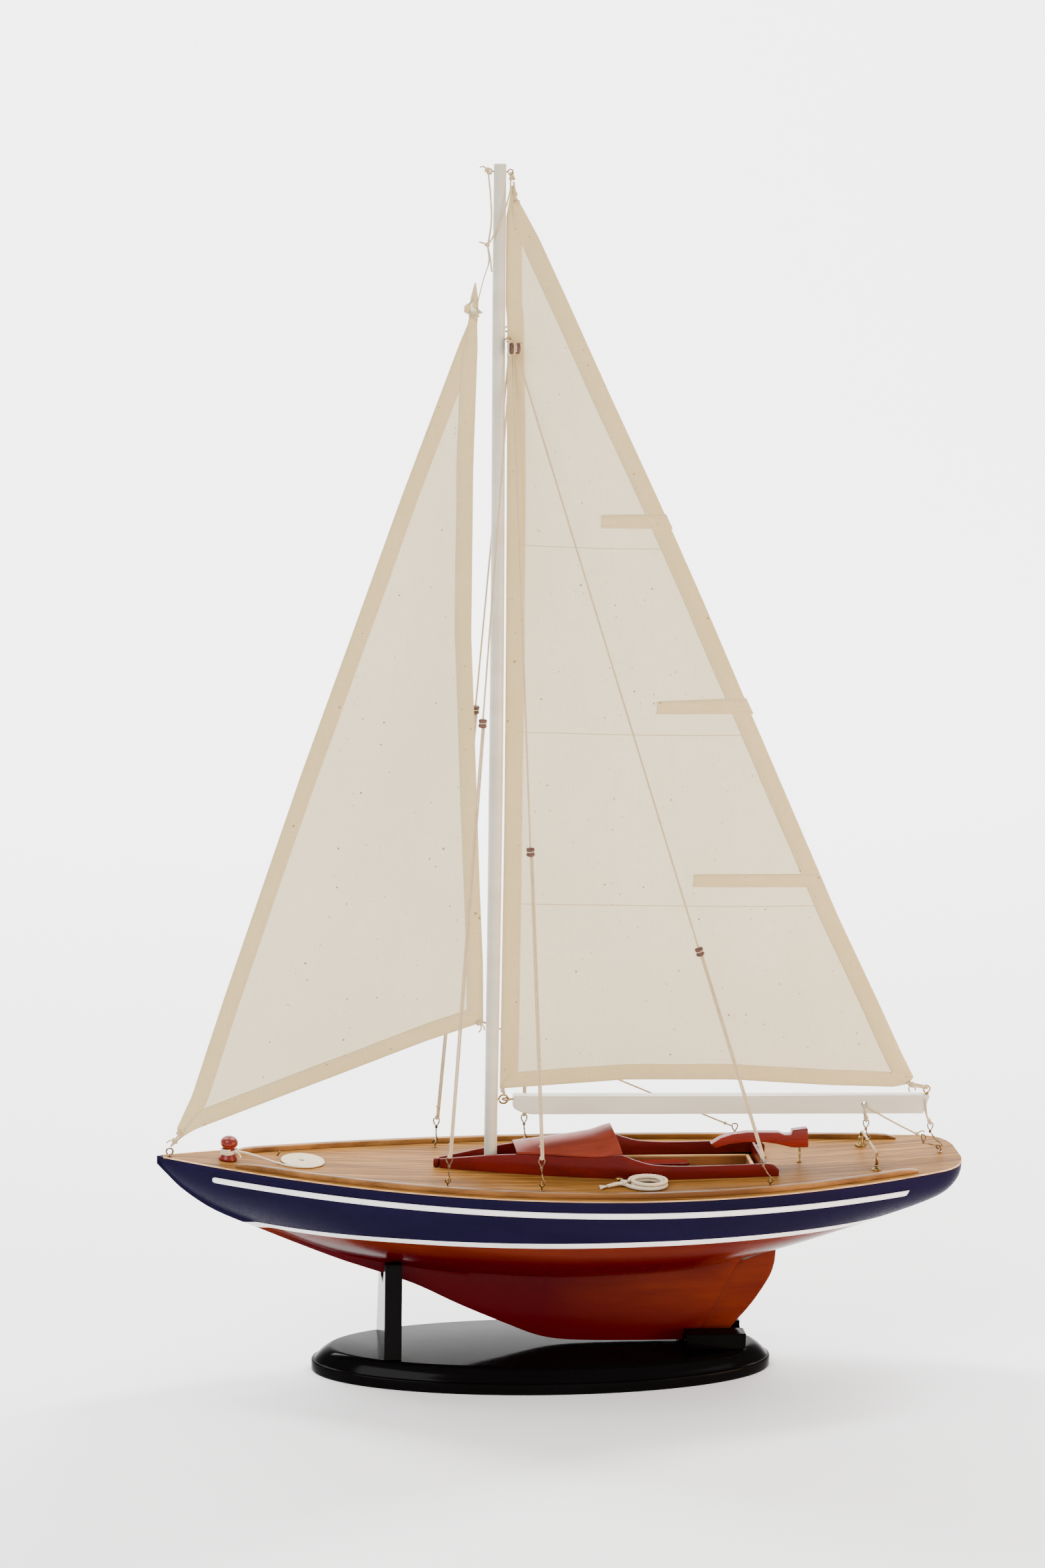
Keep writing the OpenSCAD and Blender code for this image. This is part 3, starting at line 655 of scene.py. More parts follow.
# The veneer stops short of the painted stem
DECK_X0 = BOW_X + 3.2
# The painted stripe at the waterline: its middle at x = 0, its climb, half its width
BOOT_Z = 83.5
BOOT_CLIMB = 0.0215
BOOT_HALF = 1.5


def banded(shape, keep):
    """The part of a shape between the two heights of keep."""
    points, faces = shape
    mesh = bpy.data.meshes.new("cut")
    mesh.from_pydata([tuple(p) for p in points], [], faces)
    bm = bmesh.new()
    bm.from_mesh(mesh)
    for z, sign in ((keep[0], -1), (keep[1], 1)):
        if z is None:
            continue
        bmesh.ops.bisect_plane(bm, geom=bm.verts[:] + bm.edges[:] + bm.faces[:], plane_co=(0, 0, z),
                               plane_no=(-BOOT_CLIMB * sign, 0, sign), clear_outer=True)
    bm.verts.index_update()
    out = [v.co.copy() for v in bm.verts], [tuple(v.index for v in f.verts) for f in bm.faces]
    bm.free()
    bpy.data.meshes.remove(mesh)
    return out


def skin(name, shape, look, cad=""):
    """A painted skin, smooth but with its sharp corners kept."""
    obj = piece(name, shape, look, cad=cad)
    obj.modifiers.new("corner", "EDGE_SPLIT").split_angle = radians(50)


def build_hull():
    form = grid([hull_row(x) for x in hull_stations()], caps=True)
    high, low = BOOT_Z + BOOT_HALF, BOOT_Z - BOOT_HALF
    skin("hull_topsides", banded(form, (high, None)), "navy", "hull")
    skin("boot_stripe", banded(form, (low, high)), "white")
    skin("hull_bottom", banded(form, (None, low)), "red", "keel")
    tip = [[(x, hull_half(x, 0) * u, sheer(x) - 0.02) for u in (-1, 0, 1)]
           for x in spaced(BOW_X, DECK_X0 + 0.3, 0.5)]
    piece("stem_head", grid(tip), "navy", smooth=False)


# Rudder, from its foot up: step, fore edge's x and z, aft edge's x and z
RUDDER = [
    (0, 80, 14.5, 94.5, 14.5),
    (1, 82, 18, 98.6, 18.2),
    (2, 84.5, 22, 102.0, 22.6),
    (3, 90.2, 33, 110.8, 33.4),
    (4, 96.7, 46, 118.9, 46.6),
    (5, 101.3, 54, 121.8, 55),
    (6, 104.5, 58, 122.5, 63.6),
]


def build_rudder():
    # Along the chord, how much of the half thickness is left
    section = [(-0.14, 0.6), (0, 1), (0.2, 0.93), (0.5, 0.8), (0.8, 0.62), (0.94, 0.45), (1, 0.2)]
    rows = []
    for i in range(49):
        fx, fz, ax, az = (fair(RUDDER, i / 8, c) for c in (1, 2, 3, 4))
        thick = 1.3 + fz * 0.02
        port = [(fx + (ax - fx) * u, -thick * w, fz + (az - fz) * u) for u, w in section]
        rows.append(mirrored(port))
    skin("rudder_blade", solid(rows), "red", "rudder")


# ---- Deck ----
# The cabin opening's ends, and the height that the boards round it start from
OPENING = (-54, 112.5)
OPENING_Z = 108.9
COAMING_T = 1.6


def deck_grid(x0, x1, inner):
    """Both sides of the deck from x0 to x1, outside the half breadth inner(x)."""
    parts = []
    for s in (-1, 1):
        rows = []
        for x in spaced(x0, x1, 2.4):
            b, y0 = breadth(x) + 0.05, inner(x)
            z = sheer(x)
            row = [(x, s * (y0 + (b - 0.5 - y0) * k / 10), z) for k in range(11)]
            rows.append(row + [(x, s * (b - 0.15), z - 0.15), (x, s * (b - 0.2), z - 0.6)])
        parts.append(grid(rows))
    return joined(parts)


def build_deck():
    stern = stern_stations()
    rows = []
    for x in stern:
        b, z = breadth(x) + 0.05, sheer(x)
        edge = [(b - 0.5, z), (b - 0.15, z - 0.15), (b - 0.2, z - 0.6)]
        left = [(x, -max(y, 0), h) for y, h in reversed(edge)]
        middle = [(x, (b - 0.5) * (k / 10), z) for k in range(-9, 10)]
        rows.append(left + middle + [(x, max(y, 0), h) for y, h in edge])
    parts = [
        deck_grid(DECK_X0, OPENING[0], lambda x: 0),
        deck_grid(*OPENING, lambda x: coaming_y(x) - COAMING_T),
        deck_grid(OPENING[1], STERN_X - STERN_TURN, lambda x: 0),
        grid(rows),
    ]
    piece("deck_veneer", parts, "deck", cad="deck")
    edge = []
    for s in (-1, 1):
        rows = []
        for x in spaced(DECK_X0, 200, 2.5) + stern[1:]:
            b, z = breadth(x) + 0.05, sheer(x)
            rows.append([(x, s * max(b - w, 0), z + h) for w, h in (
                (1.5, 0.02), (1.4, 0.14), (0.35, 0.14), (0.05, 0.04), (-0.02, -0.2))])
        edge.append(grid(rows))
    piece("deck_edge", edge, "edge")
    inner = [(x, coaming_y(x) - COAMING_T) for x in spaced(*OPENING, 3)]
    outline = [(x, -y) for x, y in inner] + [(x, y) for x, y in reversed(inner)]
    floor = 92
    walls = [grid([[(x, y, z) for x, y in outline] for z in (floor, OPENING_Z)], closed=True),
             ([Vector((x, y, floor)) for x, y in outline], [tuple(range(len(outline)))])]
    piece("cabin_space", walls, "well", smooth=False)


def rail_box(x, s, y, w, z, h, r=0.45):
    """Section of a rounded strip that stands on the deck."""
    pts = [(0, 0), (0, h - r), (r * 0.3, h - r * 0.3), (r, h), (w - r, h), (w - r * 0.3, h - r * 0.3),
           (w, h - r), (w, 0)]
    return [(x, s * (y - a), z + b) for a, b in pts]


def build_rails():
    for s, side in SIDES:
        build_toe_rail(s, side)
        build_cove_strip(s, side)


def build_toe_rail(s, side):
    fore, aft = -163, 190
    rows = []
    for x in [fore, -161.5, -158, -152] + spaced(-148, 175, 3) + [180, 185, 188.5, aft]:
        ramp = clamp(min(x - fore, aft - x) / 9, 0, 1)
        rows.append(rail_box(x, s, breadth(x) - 5, 3.5, on_deck(x), 0.8 + 1.8 * (1 - (1 - ramp) ** 2)))
    piece("rail_" + side, solid(rows), "oak", cad="toe_rail_" + side, bevel=0.12, segments=2)


def build_cove_strip(s, side):
    """White strip, half_high above and below its middle, round at the fore
    end and cut on the slant at the aft end."""
    fore, aft, half_high = -175, 184, 1.5
    rows = []
    for x in [fore, -174.9, -174.7, -174.4, -174, -173.5] + spaced(-172.5, aft, 3):
        mid = sheer(x) - 7 - 1.5 * ((x - fore) / (aft - fore)) ** 2
        end = sqrt(1 - clamp(1 - (x - fore) / half_high, 0, 1) ** 2)
        tall = half_high * (0.12 + 0.88 * end)
        lean = 1.2 * clamp(1 - (aft - x) / 3, 0, 1)
        row = []
        for up, out in ((-1, 0), (-1, 0.7), (-0.78, 1), (0.78, 1), (1, 0.7), (1, 0)):
            h = mid + up * tall
            row.append((x - lean * (1 - up) / 2, s * (hull_y(x, h) + 0.08 + out * 0.85), h))
        rows.append(row)
    piece("cove_" + side, solid(rows), "white", cad="cove_strip_" + side)


# ---- Cabin and cockpit ----
def board_top(x):
    return on_deck(x) + fair(BOARD_RISE, x, 1)


def roof_point(f, u, lift=0.0):
    x = -18 + 54 * f
    rise = 0.8 + 8.5 * f
    z = board_top(x) + 0.1 + rise * (1 - abs(u) ** 2.2) + lift
    return (x - 3.5 * f * (1 - u * u), coaming_y(x) * u * 1.01, z)


def build_cabin():
    for s, side in SIDES:
        rows = []
        for x in spaced(-57, 114, 2.5) + [115.5, 117, 117.8, 118]:
            high = board_top(x) - on_deck(x)
            rows.append(rail_box(x, s, coaming_y(x), COAMING_T, on_deck(x), high, 0.4))
        piece("coaming_board_" + side, solid(rows), "mahogany", cad="coaming_" + side, bevel=0.1,
              segments=2)
    post = [(0.02, 0.2), (1.5, 0.3), (1.55, 2), (1.45, 4.2), (1.0, 4.75), (0.02, 4.9)]
    piece("coaming_stem", lathe(post, (-58.6, 0, sheer(-60))), "mahogany", cad="coaming_tip")
    rows = []
    for u in (k / 24 for k in range(-24, 25)):
        top = [roof_point(i / 24, u, 1.2) for i in range(25)]
        rows.append(top + [roof_point(i / 24, u) for i in range(24, -1, -1)])
    piece("roof_board", solid(rows), "roof", cad="cabin_roof", bevel=0.35)


def build_cockpit():
    fore, aft, half, floor, wall, cap = 37, 109, 18, 97, 1.6, 0.9
    parts = [block((fore, -half, floor), (aft, half, floor + 1.5))]
    parts += [block((fore, y, floor), (aft, y + wall, OPENING_Z)) for y in (-half, half - wall)]
    parts.append(block((aft - wall, -half, floor), (aft, half, OPENING_Z)))
    piece("well_box", parts, "well", smooth=False, bevel=0.15, cad="cockpit_well")
    parts = [block((fore - 1, y, OPENING_Z), (aft, y + wall, OPENING_Z + cap))
             for y in (-half, half - wall)]
    parts.append(block((aft - wall, -half, OPENING_Z), (aft, half, OPENING_Z + cap)))
    piece("well_rim", parts, "edge", smooth=False, bevel=0.15)
    # Benches: long ovals with flattened sides, half_x by half_y about (57, bench_y)
    bench_x, bench_y, half_x, half_y = 57, 12.2, 19, 3.7
    parts = []
    for s in (-1, 1):
        rows = []
        for z, grow in ((106, -0.3), (106.25, 0), (107.75, 0), (108, -0.3)):
            row = []
            for a in around(32):
                dx = clamp(cos(a) * 21, -half_x, half_x) * (1 + grow / half_x)
                dy = clamp(sin(a) * 5.4, -half_y, half_y) * (1 + grow / half_y)
                row.append((bench_x + dx, s * bench_y + dy, z))
            rows.append(row)
        parts.append(solid(rows))
    piece("bench_boards", parts, "mahogany", cad="cockpit_benches", smooth=False)
    x, half = 111.5, 19.8
    low = sheer(x) - 1.4
    board = block((x - 0.8, -half, low), (x + 0.8, half, low + 7.4))
    piece("aft_board", board, "mahogany", smooth=False, bevel=0.4, cad="cockpit_aft_board")


def build_tiller():
    outline = [(85, 121.8), (90, 125), (96, 127), (104, 128), (121, 127.8), (124.5, 126.4),
               (127.6, 126.6), (128, 129), (136.2, 130), (137, 119.6), (128, 119.6), (121, 121.4),
               (114, 122.6), (104, 122.8), (95, 121.8), (87.4, 119.6)]
    piece("tiller_arm", extruded(outline, -2.4, 2.4), "tiller", "tiller", smooth=False, bevel=0.5,
          cad="tiller")


# ---- Stand ----
def build_stand():
    length, width = 121.5, 43
    profile = [(0.5, 0), (0, 0.6), (0, 5.2), (0.25, 5.8), (0.9, 6), (1.4, 6), (1.7, 6.25), (2.6, 7.4),
               (4.2, 9.2), (6.2, 11), (8.2, 12.3), (9.6, 12.9), (10.4, 13)]
    rows = []
    for inset, z in profile:
        a, b = length - inset, width - inset * 0.8
        rows.append([(a * cos(t), b * sin(t), z) for t in around(144)])
    piece("stand_plinth", solid(rows), "stand", "stand", "stand_base")
    top, fork_high, fork_x, fork_t = profile[-1][1], 50, -81, 4.5
    fork = [(24, 0), (17, fork_high), (12.5, fork_high), (5.6, fork_high - 14)]
    fork = [(-y, top + z) for y, z in fork] + [(y, top + z) for y, z in reversed(fork)]
    piece("stand_fork", extruded(fork, fork_x - fork_t, fork_x + fork_t, along_x=True), "stand",
          "stand", "stand_post", smooth=False, bevel=0.6)
    chock_x, chock_length, chock_high = 74, 32, 8.5
    chock = [(15, 0), (15, chock_high), (5, chock_high), (5, 1)]
    chock = [(-y, top + z) for y, z in chock] + [(y, top + z) for y, z in reversed(chock)]
    piece("stand_chock", extruded(chock, chock_x, chock_x + chock_length, along_x=True), "stand",
          "stand", "stand_block", smooth=False, bevel=0.7)


# ---- Mast and fixed fittings ----
LEAN = radians(1.1)
MAST_AXIS = (-sin(LEAN), 0, cos(LEAN))
HEEL_X = -30
HEEL_Z = 96
MAST_TOP = 626
# The ring on the mast that the boom's own ring hangs in
GOOSE_Z = 146.5


def mast_x(z):
    return HEEL_X - (z - HEEL_Z) * tan(LEAN)


GOOSE_X = mast_x(GOOSE_Z) + 6.2


def mast_r(z):
    s = (z - HEEL_Z) / (MAST_TOP - HEEL_Z)
    return 3.3 + 0.3 * s / 0.4 if s < 0.4 else 3.6 - 0.5 * (s - 0.4) / 0.6


def mast_bow(z):
    """The spar is not quite straight: it stands this far aft of its axis."""
    return 0.9 * sin(pi * clamp((z - 130) / 430, 0, 1))


def screw_eye(p, r, wire_r, shank, turn=0.0, gap=25.0):
    """Shank and bent ring of an upright screw eye; turn spins it about its shank."""
    up = Vector((0, 0, 1))
    side = Vector((cos(radians(turn)), sin(radians(turn)), 0))
    centre = Vector(p) + up * (shank + r)
    path = [Vector(p) - up * 0.4, Vector(p) + up * shank * 0.6]
    path += ring_path(centre, r, side, up, -90, 360 - gap, 30)
    return tube(path, wire_r, 8)


def spool(half):
    """A turned profile from the upper half of it, the same below."""
    return [(r, -h) for r, h in reversed(half[1:])] + half


def flat_collar(p, r):
    return lathe([(0.02, 0), (r, 0), (r, 0.21), (r * 0.7, 0.35), (0.02, 0.35)], p, steps=20)


def build_mast():
    profile = []
    for i in range(41):
        z = 93.2 + (MAST_TOP - 0.6 - 93.2) * i / 40
        profile.append((mast_r(z), (z - HEEL_Z) / cos(LEAN)))
    last_r, last_h = profile[-1]
    profile += [(last_r - 0.15, last_h + 0.4), (last_r - 0.5, last_h + 0.6), (0.02, last_h + 0.62)]
    points, faces = lathe(profile, (HEEL_X, 0, HEEL_Z), MAST_AXIS, 48)
    bent = [p + Vector((mast_bow(p.z), 0, 0)) for p in points]
    piece("mast_spar", (bent, faces), "spar", cad="mast")
    piece("mast_shoe", lathe([(3.4, 0), (5.0, 0.1), (5.0, 0.5), (4.4, 0.9), (3.4, 1.0)],
                             (mast_x(sheer(HEEL_X)), 0, sheer(HEEL_X) + 0.05), MAST_AXIS), "deck")
    parts = []
    for z, angle in ((622, 0), (622, 180), (544.5, 35), (539.8, -30)):
        d = Vector((cos(radians(angle)), sin(radians(angle)), 0))
        skin_at = Vector((mast_x(z), 0, z)) + (mast_r(z) - 0.2) * d
        centre = skin_at + 2.3 * d
        path = [skin_at, skin_at + 0.7 * d]
        path += ring_path(centre, 1.25, -d, (0, 0, 1), 0, 330, 28)
        parts.append(tube(path, 0.36, 8))
    piece("masthead_eyes", parts, "brass", cad="mast_eyes")
    groove = spool([(2.1, 0), (2.6, 0.8), (2.9, 1.6), (2.7, 2.2), (2.0, 2.7), (0.02, 2.7)])
    piece("hound_bead", lathe(groove, (-30.8, -4.5, 535.8), (1, 0, 0)), "bead", cad="upper_bead")
    eye = [Vector((GOOSE_X - 3.2, 0, GOOSE_Z)), Vector((GOOSE_X - 1.9, 0, GOOSE_Z))]
    eye += ring_path((GOOSE_X + 0.3, 0, GOOSE_Z), 2.3, (-1, 0, 0), (0, 0, 1), 10, 335, 30)
    piece("gooseneck_ring", tube(eye, 0.5, 8), "brass", cad="gooseneck_eye")


def collared_eye(x, y, r, wire_r, shank, collar_r, turn=0.0, gap=25.0):
    """A screw eye in the deck, with the flat collar under it."""
    p = (x, y, on_deck(x))
    return joined([screw_eye(p, r, wire_r, shank, turn, gap), flat_collar(p, collar_r)])


def build_eyes():
    piece("bow_screw_eye", collared_eye(-196.5, 0, 1.7, 0.45, 0.9, 1.3, gap=30), "wire", cad="bow_eye",
          slot="brass")
    piece("stern_screw_eye", collared_eye(208, 0, 1.6, 0.4, 0.8, 1.2, 90), "brass", cad="stern_eye")
    parts = [collared_eye(x, s * y, 1.6, 0.38, 1.2, 1.2, 75 if s < 0 else 100)
             for s in (-1, 1) for x, y in STAY_FOOT]
    piece("chainplate_screw_eyes", parts, "brass", cad="chainplate_eyes")


# ---- Stays, hooks and bowsies ----
STAY_FOOT = ((-56, 33), (-8, 37.5), (110.5, 37.5))
STAY_TOP = ((-32.6, 4, 531.9), (-31.5, 1.8, 533.5), (-29.5, 1.8, 533.5))
STAY_LOW = ((-55.5, 33, 124), (-8.5, 37.3, 124), (106.5, 37, 124))
BEAD_AT = (184, 251, 318)
STAYS = ((-1, 0, "port_fore"), (-1, 1, "port_mid"), (-1, 2, "port_aft"),
         (1, 0, "starboard_fore"), (1, 1, "starboard_mid"))


def sided(p, s):
    return Vector((p[0], s * p[1], p[2]))


def along(a, b, d):
    return a + (b - a).normalized() * d


def wire_hook(top, foot, ring_r=1.8, face=(1, 0, 0)):
    """A triangular loop of wire for the cord, drawn down to a bent hook."""
    top, foot = Vector(top), Vector(foot)
    side = Vector(face).normalized()
    up = Vector((0, 0, 1))
    neck = top - up * (ring_r + 1.0)
    loop = [neck + side * 0.25, top - up * ring_r * 0.1 - side * ring_r * 0.75,
            top + up * ring_r * 0.95 - side * ring_r * 0.75, top + up * ring_r * 1.1,
            top + up * ring_r * 0.95 + side * ring_r * 0.75,
            top - up * ring_r * 0.1 + side * ring_r * 0.75, neck - side * 0.1]
    bend = foot + up * 0.9
    shank = neck.lerp(bend, 0.6) + side * 0.35
    tail = [neck - side * 0.1, shank, bend + side * 1.35 + up * 0.6, bend + side * 1.1 - up * 1.0,
            bend - up * 1.7, bend - side * 1.0 - up * 1.0, bend - side * 1.2 + up * 0.3]
    return joined([wire(loop), wire(tail), wraps(neck, up, 0.5, 2.2, 0.3)])


def build_stays():
    hooks = []
    for s, i, name in STAYS:
        a, b = sided(STAY_TOP[i], s), sided(STAY_LOW[i], s)
        d = (a - b).normalized()
        end = along(b, a, 2.1)
        # The main strand, doubled and knotted on the hook's ring
        parts = [cord([a, a.lerp(end, 0.5), end]), knot(along(end, a, 6.5), 0.75, 0.42, d),
                 wraps(along(end, a, 0.4), (0, 1, 0), 0.75, 1.4, 0.42)]
        piece("cord_" + name, parts, "cord", cad="stay_" + name)
        bead = along(a, b, BEAD_AT[i])
        low_end = end + Vector((0.95, 0, 0))
        top_end = along(a, b, BEAD_AT[i] + 2.6) + Vector((0.95, 0, 0))
        middle = top_end.lerp(low_end, 0.5) + Vector((0.1, 0, 0))
        back = piece("return_" + name, cord([top_end, middle, low_end]), "cord", body=None)
        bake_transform(back)
        groove = spool([(1.65, 0), (1.9, 0.5), (2.2, 1.1), (2.1, 1.7), (1.6, 2.2), (0.55, 2.2)])
        piece("bead_" + name, lathe(groove, bead, d), "bead", "bowsie_" + name, cad="bowsie_" + name)
        lash = [wraps(bead, d, 1.75, 1.0, 0.28),
                knot(bead - d * 2.5 + Vector((0.6, 0, 0)), 0.55, 0.4, d)]
        piece("bead_tie_" + name, lash, "cord", "bowsie_" + name)
        x, y = STAY_FOOT[i]
        hooks.append(wire_hook(b, (x, s * y, sheer(x) + 2.8)))
    piece("stay_wire_hooks", hooks, "wire", cad="stay_hooks")
    # Knots and turns of the stay cords at the hounds
    tops = [knot((-33.6, -4.9, 539.2), 1.0, 0.45), knot((-27.6, -4.6, 538.4), 0.9, 0.45),
            wraps((-30.8, -4.5, 535.8), (1, 0, 0), 2.3, 1.6, 0.45)]
    tops += cords(0.45,
                  [(-32.6, -4, 531.9), (-34, -5.8, 533.4), (-34.4, -6.4, 536.6), (-33.6, -4.9, 539.2)],
                  [(-31.5, -1.8, 533.5), (-31.4, -3, 533.3), (-31, -4.6, 533.4)],
                  [(-29.5, -1.8, 533.5), (-29.8, -3, 533.2), (-30.4, -4.6, 533.4)],
                  [(-32.6, 4, 531.9), (-32.2, 3.8, 535), (-31.8, 2.9, 538.6)])
    piece("hound_knots", tops, "cord")


# ---- Sails ----
class Outline:
    """A run of XZ points that can be read by its share of the length."""

    def __init__(self, points):
        self.points = [Vector(p) for p in points]
        self.at = [0.0]
        for a, b in zip(self.points, self.points[1:]):
            self.at.append(self.at[-1] + (b - a).length)

    def __call__(self, t):
        d = t * self.at[-1]
        for i in range(len(self.points) - 1):
            if d <= self.at[i + 1] or i == len(self.points) - 2:
                part = (d - self.at[i]) / (self.at[i + 1] - self.at[i])
                return self.points[i].lerp(self.points[i + 1], part)


class Sail:
    """A sail in the XZ plane between its luff, leech and foot; relief gives
    how far it stands off the plane at a point."""

    def __init__(self, luff, leech, foot, relief):
        self.luff, self.leech, self.foot = Outline(luff), Outline(leech), Outline(foot)
        self.relief = relief

    def flat(self, u, t):
        straight = self.foot(0).lerp(self.foot(1), u)
        sag = (self.foot(u) - straight) * (1 - t) ** 3
        return self.luff(t).lerp(self.leech(t), u) + sag

    def lift(self, p, off=0.0):
        return Vector((p[0], self.relief(p[0], p[1]) + off, p[1]))

    def surface(self, across, up):
        rows = []
        for j in range(up + 1):
            rows.append([self.lift(self.flat(i / across, j / up)) for i in range(across + 1)])
        return grid(rows)

    def area(self):
        edge = [self.luff(i / 40) for i in range(41)] + [self.leech(1 - i / 40) for i in range(41)]
        edge += [self.foot(1 - i / 40) for i in range(41)]
        return abs(sum(a.x * b.y - b.x * a.y for a, b in zip(edge, edge[1:] + edge[:1]))) / 2


def inward(run, t, toward):
    """Point on an edge run and the direction into the sail."""
    p = run(t)
    d = (run(min(t + 0.004, 1)) - run(max(t - 0.004, 0))).normalized()
    n = Vector((-d.y, d.x))
    return p, n if n.dot(toward - p) > 0 else -n


def corner_slope(run, end, others):
    """How fast a hem widens from a corner: the tangent of half its angle."""
    corner, ahead = run(end), run(abs(end - 0.06))
    other = min(others, key=lambda o: min((o(0) - corner).length, (o(1) - corner).length))
    far_end = (other(0) - corner).length > (other(1) - corner).length
    beside = other(0.94) if far_end else other(0.06)
    return tan((ahead - corner).angle(beside - corner) / 2)


def hem(sail, run, width, toward, steps, proud=0.26):
    """Cloth folded over the sail's edge, and the line of its stitching."""
    rows, seam = [], []
    toward = Vector(toward)
    others = [o for o in (sail.luff, sail.leech, sail.foot) if o is not run]
    slopes = [corner_slope(run, end, others) for end in (0, 1)]
    for i in range(steps + 1):
        t = i / steps
        p, n = inward(run, t, toward)
        w = width(t) if callable(width) else width
        w += 0.35 * noise.noise(Vector((t * 9, run.at[-1] * 0.01, 0)))
        for end in (0, 1):
            w = min(w, 0.3 + 1.55 * (p - run(end)).length * slopes[end])
        puff = proud * (1 + 0.35 * noise.noise(Vector((p.x * 0.12, p.y * 0.12, 3))))
        half = [(w, 0.1), (w * 0.97, puff), (w * 0.6, puff), (w * 0.25, puff), (0.1, puff * 0.8)]
        port = [sail.lift(p + n * d, -o) for d, o in half]
        tip = [sail.lift(p - n * 0.22)]
        starboard = [sail.lift(p + n * d, o) for d, o in reversed(half)]
        rows.append(port + tip + starboard)
        if w > 3:
            seam.append((p + n * (w - 1.1), puff))
    return grid(rows), seam


def stitches(sail, seam):
    """Short threads along a seam on both faces."""
    pitch, length = 2.6, 1.9
    parts = []
    carried = 0.0
    for (a, proud), (b, _) in zip(seam, seam[1:]):
        gap = (b - a).length
        while carried < gap:
            p = a.lerp(b, carried / gap)
            d = (b - a).normalized() * length * 0.5
            off = proud + 0.04
            for s in (-1, 1):
                path = [sail.lift(p - d, s * (off - 0.12)), sail.lift(p - d * 0.7, s * off),
                        sail.lift(p + d * 0.7, s * off), sail.lift(p + d, s * (off - 0.12))]
                parts.append(tube(path, 0.11, 5))
            carried += pitch
        carried -= gap
    return joined(parts)


def patch(sail, corners, off):
    """A four-cornered strip of cloth sewn on the port face, and its seams."""
    a, b, c, d = (Vector(p) for p in corners)
    rows, low, high = [], [], []
    for t in (i / 14 for i in range(15)):
        p, q = a.lerp(b, t), d.lerp(c, t)
        wave = 0.25 * noise.noise(Vector((p.x * 0.15, p.y * 0.1, 8)))
        row = [sail.lift(p.lerp(q, k), -off - wave * off * 2 * k * (1 - k))
               for k in (0.03, 0.3, 0.5, 0.7, 0.97)]
        rows.append([sail.lift(p, -0.08)] + row + [sail.lift(q, -0.08)])
        low.append((p.lerp(q, 0.14), off + 0.02))
        high.append((p.lerp(q, 0.86), off + 0.02))
    return grid(rows), low, high


def cloth_piece(name, shape, look, body, thick=0.22, cad=""):
    obj = piece(name, shape, look, body, cad)
    if thick:
        layer = obj.modifiers.new("thickness", "SOLIDIFY")
        layer.thickness = thick * MM
        layer.offset = 0
    return obj


def luff_x(z):
    gap = 0.4 + 0.8 * clamp((556 - z) / 6, 0, 1)
    return mast_x(z) + mast_bow(z) + mast_r(z) + gap


def off_plane(x, z, u, t, belly, coarse, fine):
    """How far a sail stands off its plane u across it and t up it: its belly,
    and ripples that fade near its edges. coarse and fine hold the noise's
    scale along x, its scale along z and its seed."""
    ripple = 0.75 * noise.noise(Vector((x * coarse[0], z * coarse[1], coarse[2])))
    ripple += 0.2 * noise.noise(Vector((x * fine[0], z * fine[1], fine[2])))
    inside = min(u * 8, 1) * min((1 - u) * 8, 1)
    full = sin(pi * u) * sin(pi * t) ** 0.7
    return belly * full + ripple * (0.35 + 0.65 * inside)


def main_relief(x, z):
    u = clamp((x + 34) / max(224 * (1 - (z - 152) / 460), 6), 0, 1)
    t = clamp((z - 152) / 456, 0, 1)
    near_foot = exp(-(((x - 100) / 90) ** 2 + ((z - 170) / 40) ** 2))
    crease = 0.34 * sin((x * 0.5 + z) * 0.085) * near_foot
    return off_plane(x, z, u, t, 1.6, (0.016, 0.011, 1.3), (0.05, 0.035, 4.1)) + crease


def jib_relief(x, z):
    t = clamp((z - 130) / 430, 0, 1)
    left = -192 + 141 * t
    u = clamp((x - left) / max(-40 - left, 6), 0, 1)
    return off_plane(x, z, u, t, 1.3, (0.017, 0.012, 7.7), (0.06, 0.04, 2.2))


def hemmed(sail, middle, edges):
    """Hems round a sail from (run, width, steps, proud), and their seams."""
    pairs = [hem(sail, run, width, middle, steps, proud) for run, width, steps, proud in edges]
    return [shape for shape, seam in pairs], [seam for shape, seam in pairs]


def declare(sail):
    sail.area() * MM * MM


